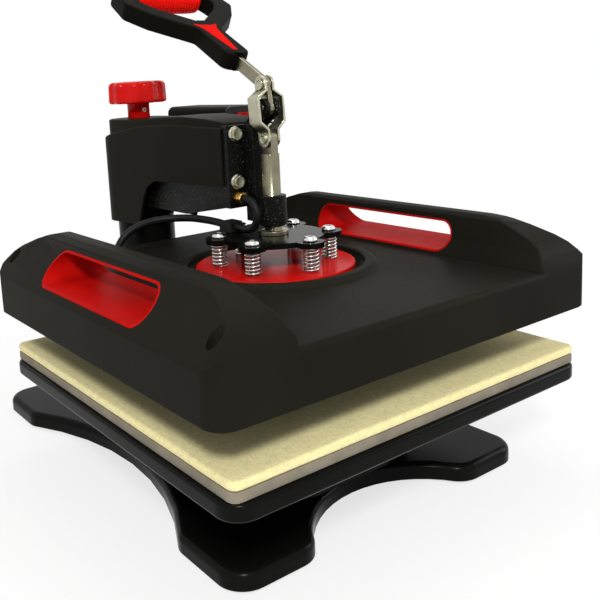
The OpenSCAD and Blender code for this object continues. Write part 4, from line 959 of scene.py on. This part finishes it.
class PRESS_OT_cover(PressOperator, bpy.types.Operator):
    """Dresses the head cover with its red slot liners and screws"""
    bl_idname = "press.cover"
    bl_label = "Head cover"

    def execute(self, context):
        half = (corners("head_cover")[1] - corners("head_cover")[0]) / 2
        # Field of the hand slots; corner radius of the skirt, its outermost strip, and the round opening
        ridge_x, slot_y, slot_z = 122.0, 112.0, 36.0
        corner, strip, opening = 18.0, 1.5, 100.0

        def outer_skin(m):
            """Edges of the outside, apart from the hand slots in the ridges, whose walls are slim."""
            x, y, over = np.abs(m[:, 0]), np.abs(m[:, 1] - BED_Y), m[:, 2] - DECK_Z
            slot = (x > ridge_x) & (y < slot_y) & (over > 0.5) & (over < slot_z)
            px, py = x - half[0] + corner, y - half[1] + corner
            reach = np.hypot(np.maximum(px, 0), np.maximum(py, 0)) + np.minimum(np.maximum(px, py), 0)
            hollow = (over < -1) & (corner - reach > strip) & (np.hypot(x, y) > opening)
            return ~slot & ~hollow

        moulded("head_cover", "moulding", self.sizes.cover_edge, 3, 32, outer_skin, 1.2)
        moulded("left_liner", "liner", 0.6)
        moulded("right_liner", "liner", 0.6)
        n = 48
        tip = corners("cover_screws")[0][2]
        floor, seat, ledge_ring = DECK_Z - 16, DECK_Z - 8, (80.0, 3, 0.0)
        recess = six_sided(1.9, n)
        head = [(2.5, 0), (4.8, 0), (5.0, 0.3), (5.0, 2.2), (4.5, 3.1), (3.6, 3.5), (recess + 0.3, 3.5),
                (recess, 3.2), (recess, 1.6), (0, 1.5)]
        spots = [(x, BED_Y + y, 0) for x in (-187, 187) for y in (-176, 176)]
        big = turned([(0, tip), (2.5, tip)] + [(r, floor + z) for r, z in head], n, spots)
        button = [(0, -10), (2.0, -10), (2.0, 0), (2.9, 0), (3.0, 0.5), (2.8, 1.3), (2.0, 1.8), (1.0, 2.0),
                  (0, 2.0)]
        small = turned([(r, seat + z) for r, z in button], n, ring_spots(*ledge_ring))
        piece("cover_screw_set", big + small, "zinc", "platen_body", "cover_screws", 40)
        return {"FINISHED"}


# Stage

def seen_directly(tree):
    """1 for rays that show a surface to the eye, straight, mirrored or through glass, and 0 for the rest."""
    ray = add(tree, "ShaderNodeLightPath").outputs
    seen = ray["Is Camera Ray"]
    for kind in ("Is Glossy Ray", "Is Transmission Ray"):
        seen = add(tree, "ShaderNodeMath", {0: seen, 1: ray[kind]}, operation="MAXIMUM").outputs[0]
    return seen


def pale_floor():
    """Matt pale paper near the press, which keeps its shadow and turns to plain white away from it."""
    mat, at = blank("pale_studio_floor")
    middle, near, far, least = (0, 0.05, 0), 0.3, 0.75, 0.72
    off = add(mat, "ShaderNodeVectorMath", {0: at, 1: middle}, operation="DISTANCE")
    clear = add(mat, "ShaderNodeMapRange", {0: off.outputs["Value"], 1: near, 2: far, 3: least, 4: 1.0})
    inputs = {0: seen_directly(mat), 1: clear.outputs[0]}
    share = add(mat, "ShaderNodeMath", inputs, operation="MULTIPLY").outputs[0]
    paper = add(mat, "ShaderNodeBsdfDiffuse", {"Color": linear("#f4f4f3")}).outputs[0]
    white = add(mat, "ShaderNodeEmission", {"Color": linear("#ffffff"), "Strength": 1.0}).outputs[0]
    both = add(mat, "ShaderNodeMixShader", {0: share, 1: paper, 2: white})
    add(mat, "ShaderNodeOutputMaterial", {"Surface": both.outputs[0]})
    return mat


def white_room():
    """World that lights the press softly and shows as plain white."""
    world = bpy.data.worlds.new("studio")
    world.use_nodes = True
    world.node_tree.nodes.clear()
    white = linear("#ffffff")
    room = add(world, "ShaderNodeBackground", {"Color": white, "Strength": 0.45}).outputs[0]
    back = add(world, "ShaderNodeBackground", {"Color": white, "Strength": 1.0}).outputs[0]
    both = add(world, "ShaderNodeMixShader", {0: seen_directly(world), 1: room, 2: back})
    add(world, "ShaderNodeOutputWorld", {"Surface": both.outputs[0]})
    return world


def stand(name, data, place, right, back):
    """Puts a lamp or the camera at a place, from its own right and backward directions."""
    obj = bpy.data.objects.new(name, data)
    bpy.context.scene.collection.objects.link(obj)
    axes = np.stack([right, np.cross(back, right), back], -1)
    obj.matrix_world = Matrix.Translation(place) @ Matrix(axes.tolist()).to_4x4()
    return obj


def softbox(name, place, size, power, target=(0.0, -0.06, 0.2)):
    """Rectangular lamp aimed at the press."""
    lamp = bpy.data.lights.new(name, "AREA")
    lamp.shape = "RECTANGLE"
    lamp.size, lamp.size_y = size
    lamp.energy = power
    back = np.array(place) - target
    back /= np.linalg.norm(back)
    right = np.cross((0, 0, 1), back)
    stand(name, lamp, place, right / np.linalg.norm(right), back)


def photo_camera():
    """Camera of the photograph, fitted to the edges of the pads, plate, base and head."""
    lens = bpy.data.cameras.new("photo_camera")
    lens.sensor_width = 36.0
    lens.lens = 47.86
    lens.shift_x, lens.shift_y = 0.109, -0.1547
    place = (-0.4507, BED_Y * MM - 0.5822, 0.3714)
    yaw, pitch, roll = (math.radians(v) for v in (-34.98, 9.18, -3.14))
    level = np.array([math.sin(yaw), -math.cos(yaw), 0])
    back = math.cos(pitch) * level + [0, 0, math.sin(pitch)]
    right = np.array([math.cos(yaw), math.sin(yaw), 0])
    rolled = math.cos(roll) * right + math.sin(roll) * np.cross(back, right)
    return stand("photo_camera", lens, place, rolled, back)


class PRESS_OT_stage(PressOperator, bpy.types.Operator):
    """Sets the pale floor, the soft lights and the camera of the photograph"""
    bl_idname = "press.stage"
    bl_label = "Stage"

    def execute(self, context):
        scene = context.scene
        scene.view_settings.view_transform = "Standard"
        side = 4.0
        mesh = bpy.data.meshes.new("studio_floor")
        sheet = [(-side, -side, 0), (side, -side, 0), (side, side, 0), (-side, side, 0)]
        mesh.from_pydata(sheet, [], [(0, 1, 2, 3)])
        mesh.materials.append(pale_floor())
        floor = bpy.data.objects.new("studio_floor", mesh)
        scene.collection.objects.link(floor)
        scene.world = white_room()
        softbox("key_softbox", (-1.1, -1.5, 1.5), (0.32, 0.32), 36)
        softbox("top_softbox", (0.2, 0.3, 2.1), (1.2, 1.0), 12)
        softbox("right_fill", (1.7, -0.9, 0.9), (0.8, 1.2), 12)
        scene.camera = photo_camera()
        return {"FINISHED"}


# Panel and registration

OPERATORS = (PRESS_OT_finishes, PRESS_OT_stage, PRESS_OT_cables, PRESS_OT_base, PRESS_OT_bed, PRESS_OT_arm,
             PRESS_OT_box, PRESS_OT_knob, PRESS_OT_lever, PRESS_OT_links, PRESS_OT_plunger, PRESS_OT_platen,
             PRESS_OT_cover)


class PRESS_PT_panel(bpy.types.Panel):
    """Lists the press's colours, sizes and building steps"""
    bl_idname = "PRESS_PT_panel"
    bl_label = "Heat press"
    bl_space_type = "VIEW_3D"
    bl_region_type = "UI"
    bl_category = "Heat press"

    def draw(self, context):
        for group in (context.scene.press_colours, context.scene.press_sizes):
            box = self.layout.box()
            for key in group.bl_rna.properties.keys():
                if key not in ("rna_type", "name"):
                    box.prop(group, key)
        for operator in OPERATORS:
            self.layout.operator(operator.bl_idname)


CLASSES = (PressColours, PressSizes, *OPERATORS, PRESS_PT_panel)


def register():
    """Adds the classes and the scene's settings."""
    for cls in CLASSES:
        bpy.utils.register_class(cls)
    bpy.types.Scene.press_colours = PointerProperty(type=PressColours)
    bpy.types.Scene.press_sizes = PointerProperty(type=PressSizes)


def unregister():
    """Takes the settings and the classes away again."""
    del bpy.types.Scene.press_sizes
    del bpy.types.Scene.press_colours
    for cls in reversed(CLASSES):
        bpy.utils.unregister_class(cls)


def main():
    """Builds everything in order."""
    register()
    for operator in OPERATORS:
        getattr(bpy.ops.press, operator.bl_idname.split(".")[1])()


if __name__ == "__main__":
    main()
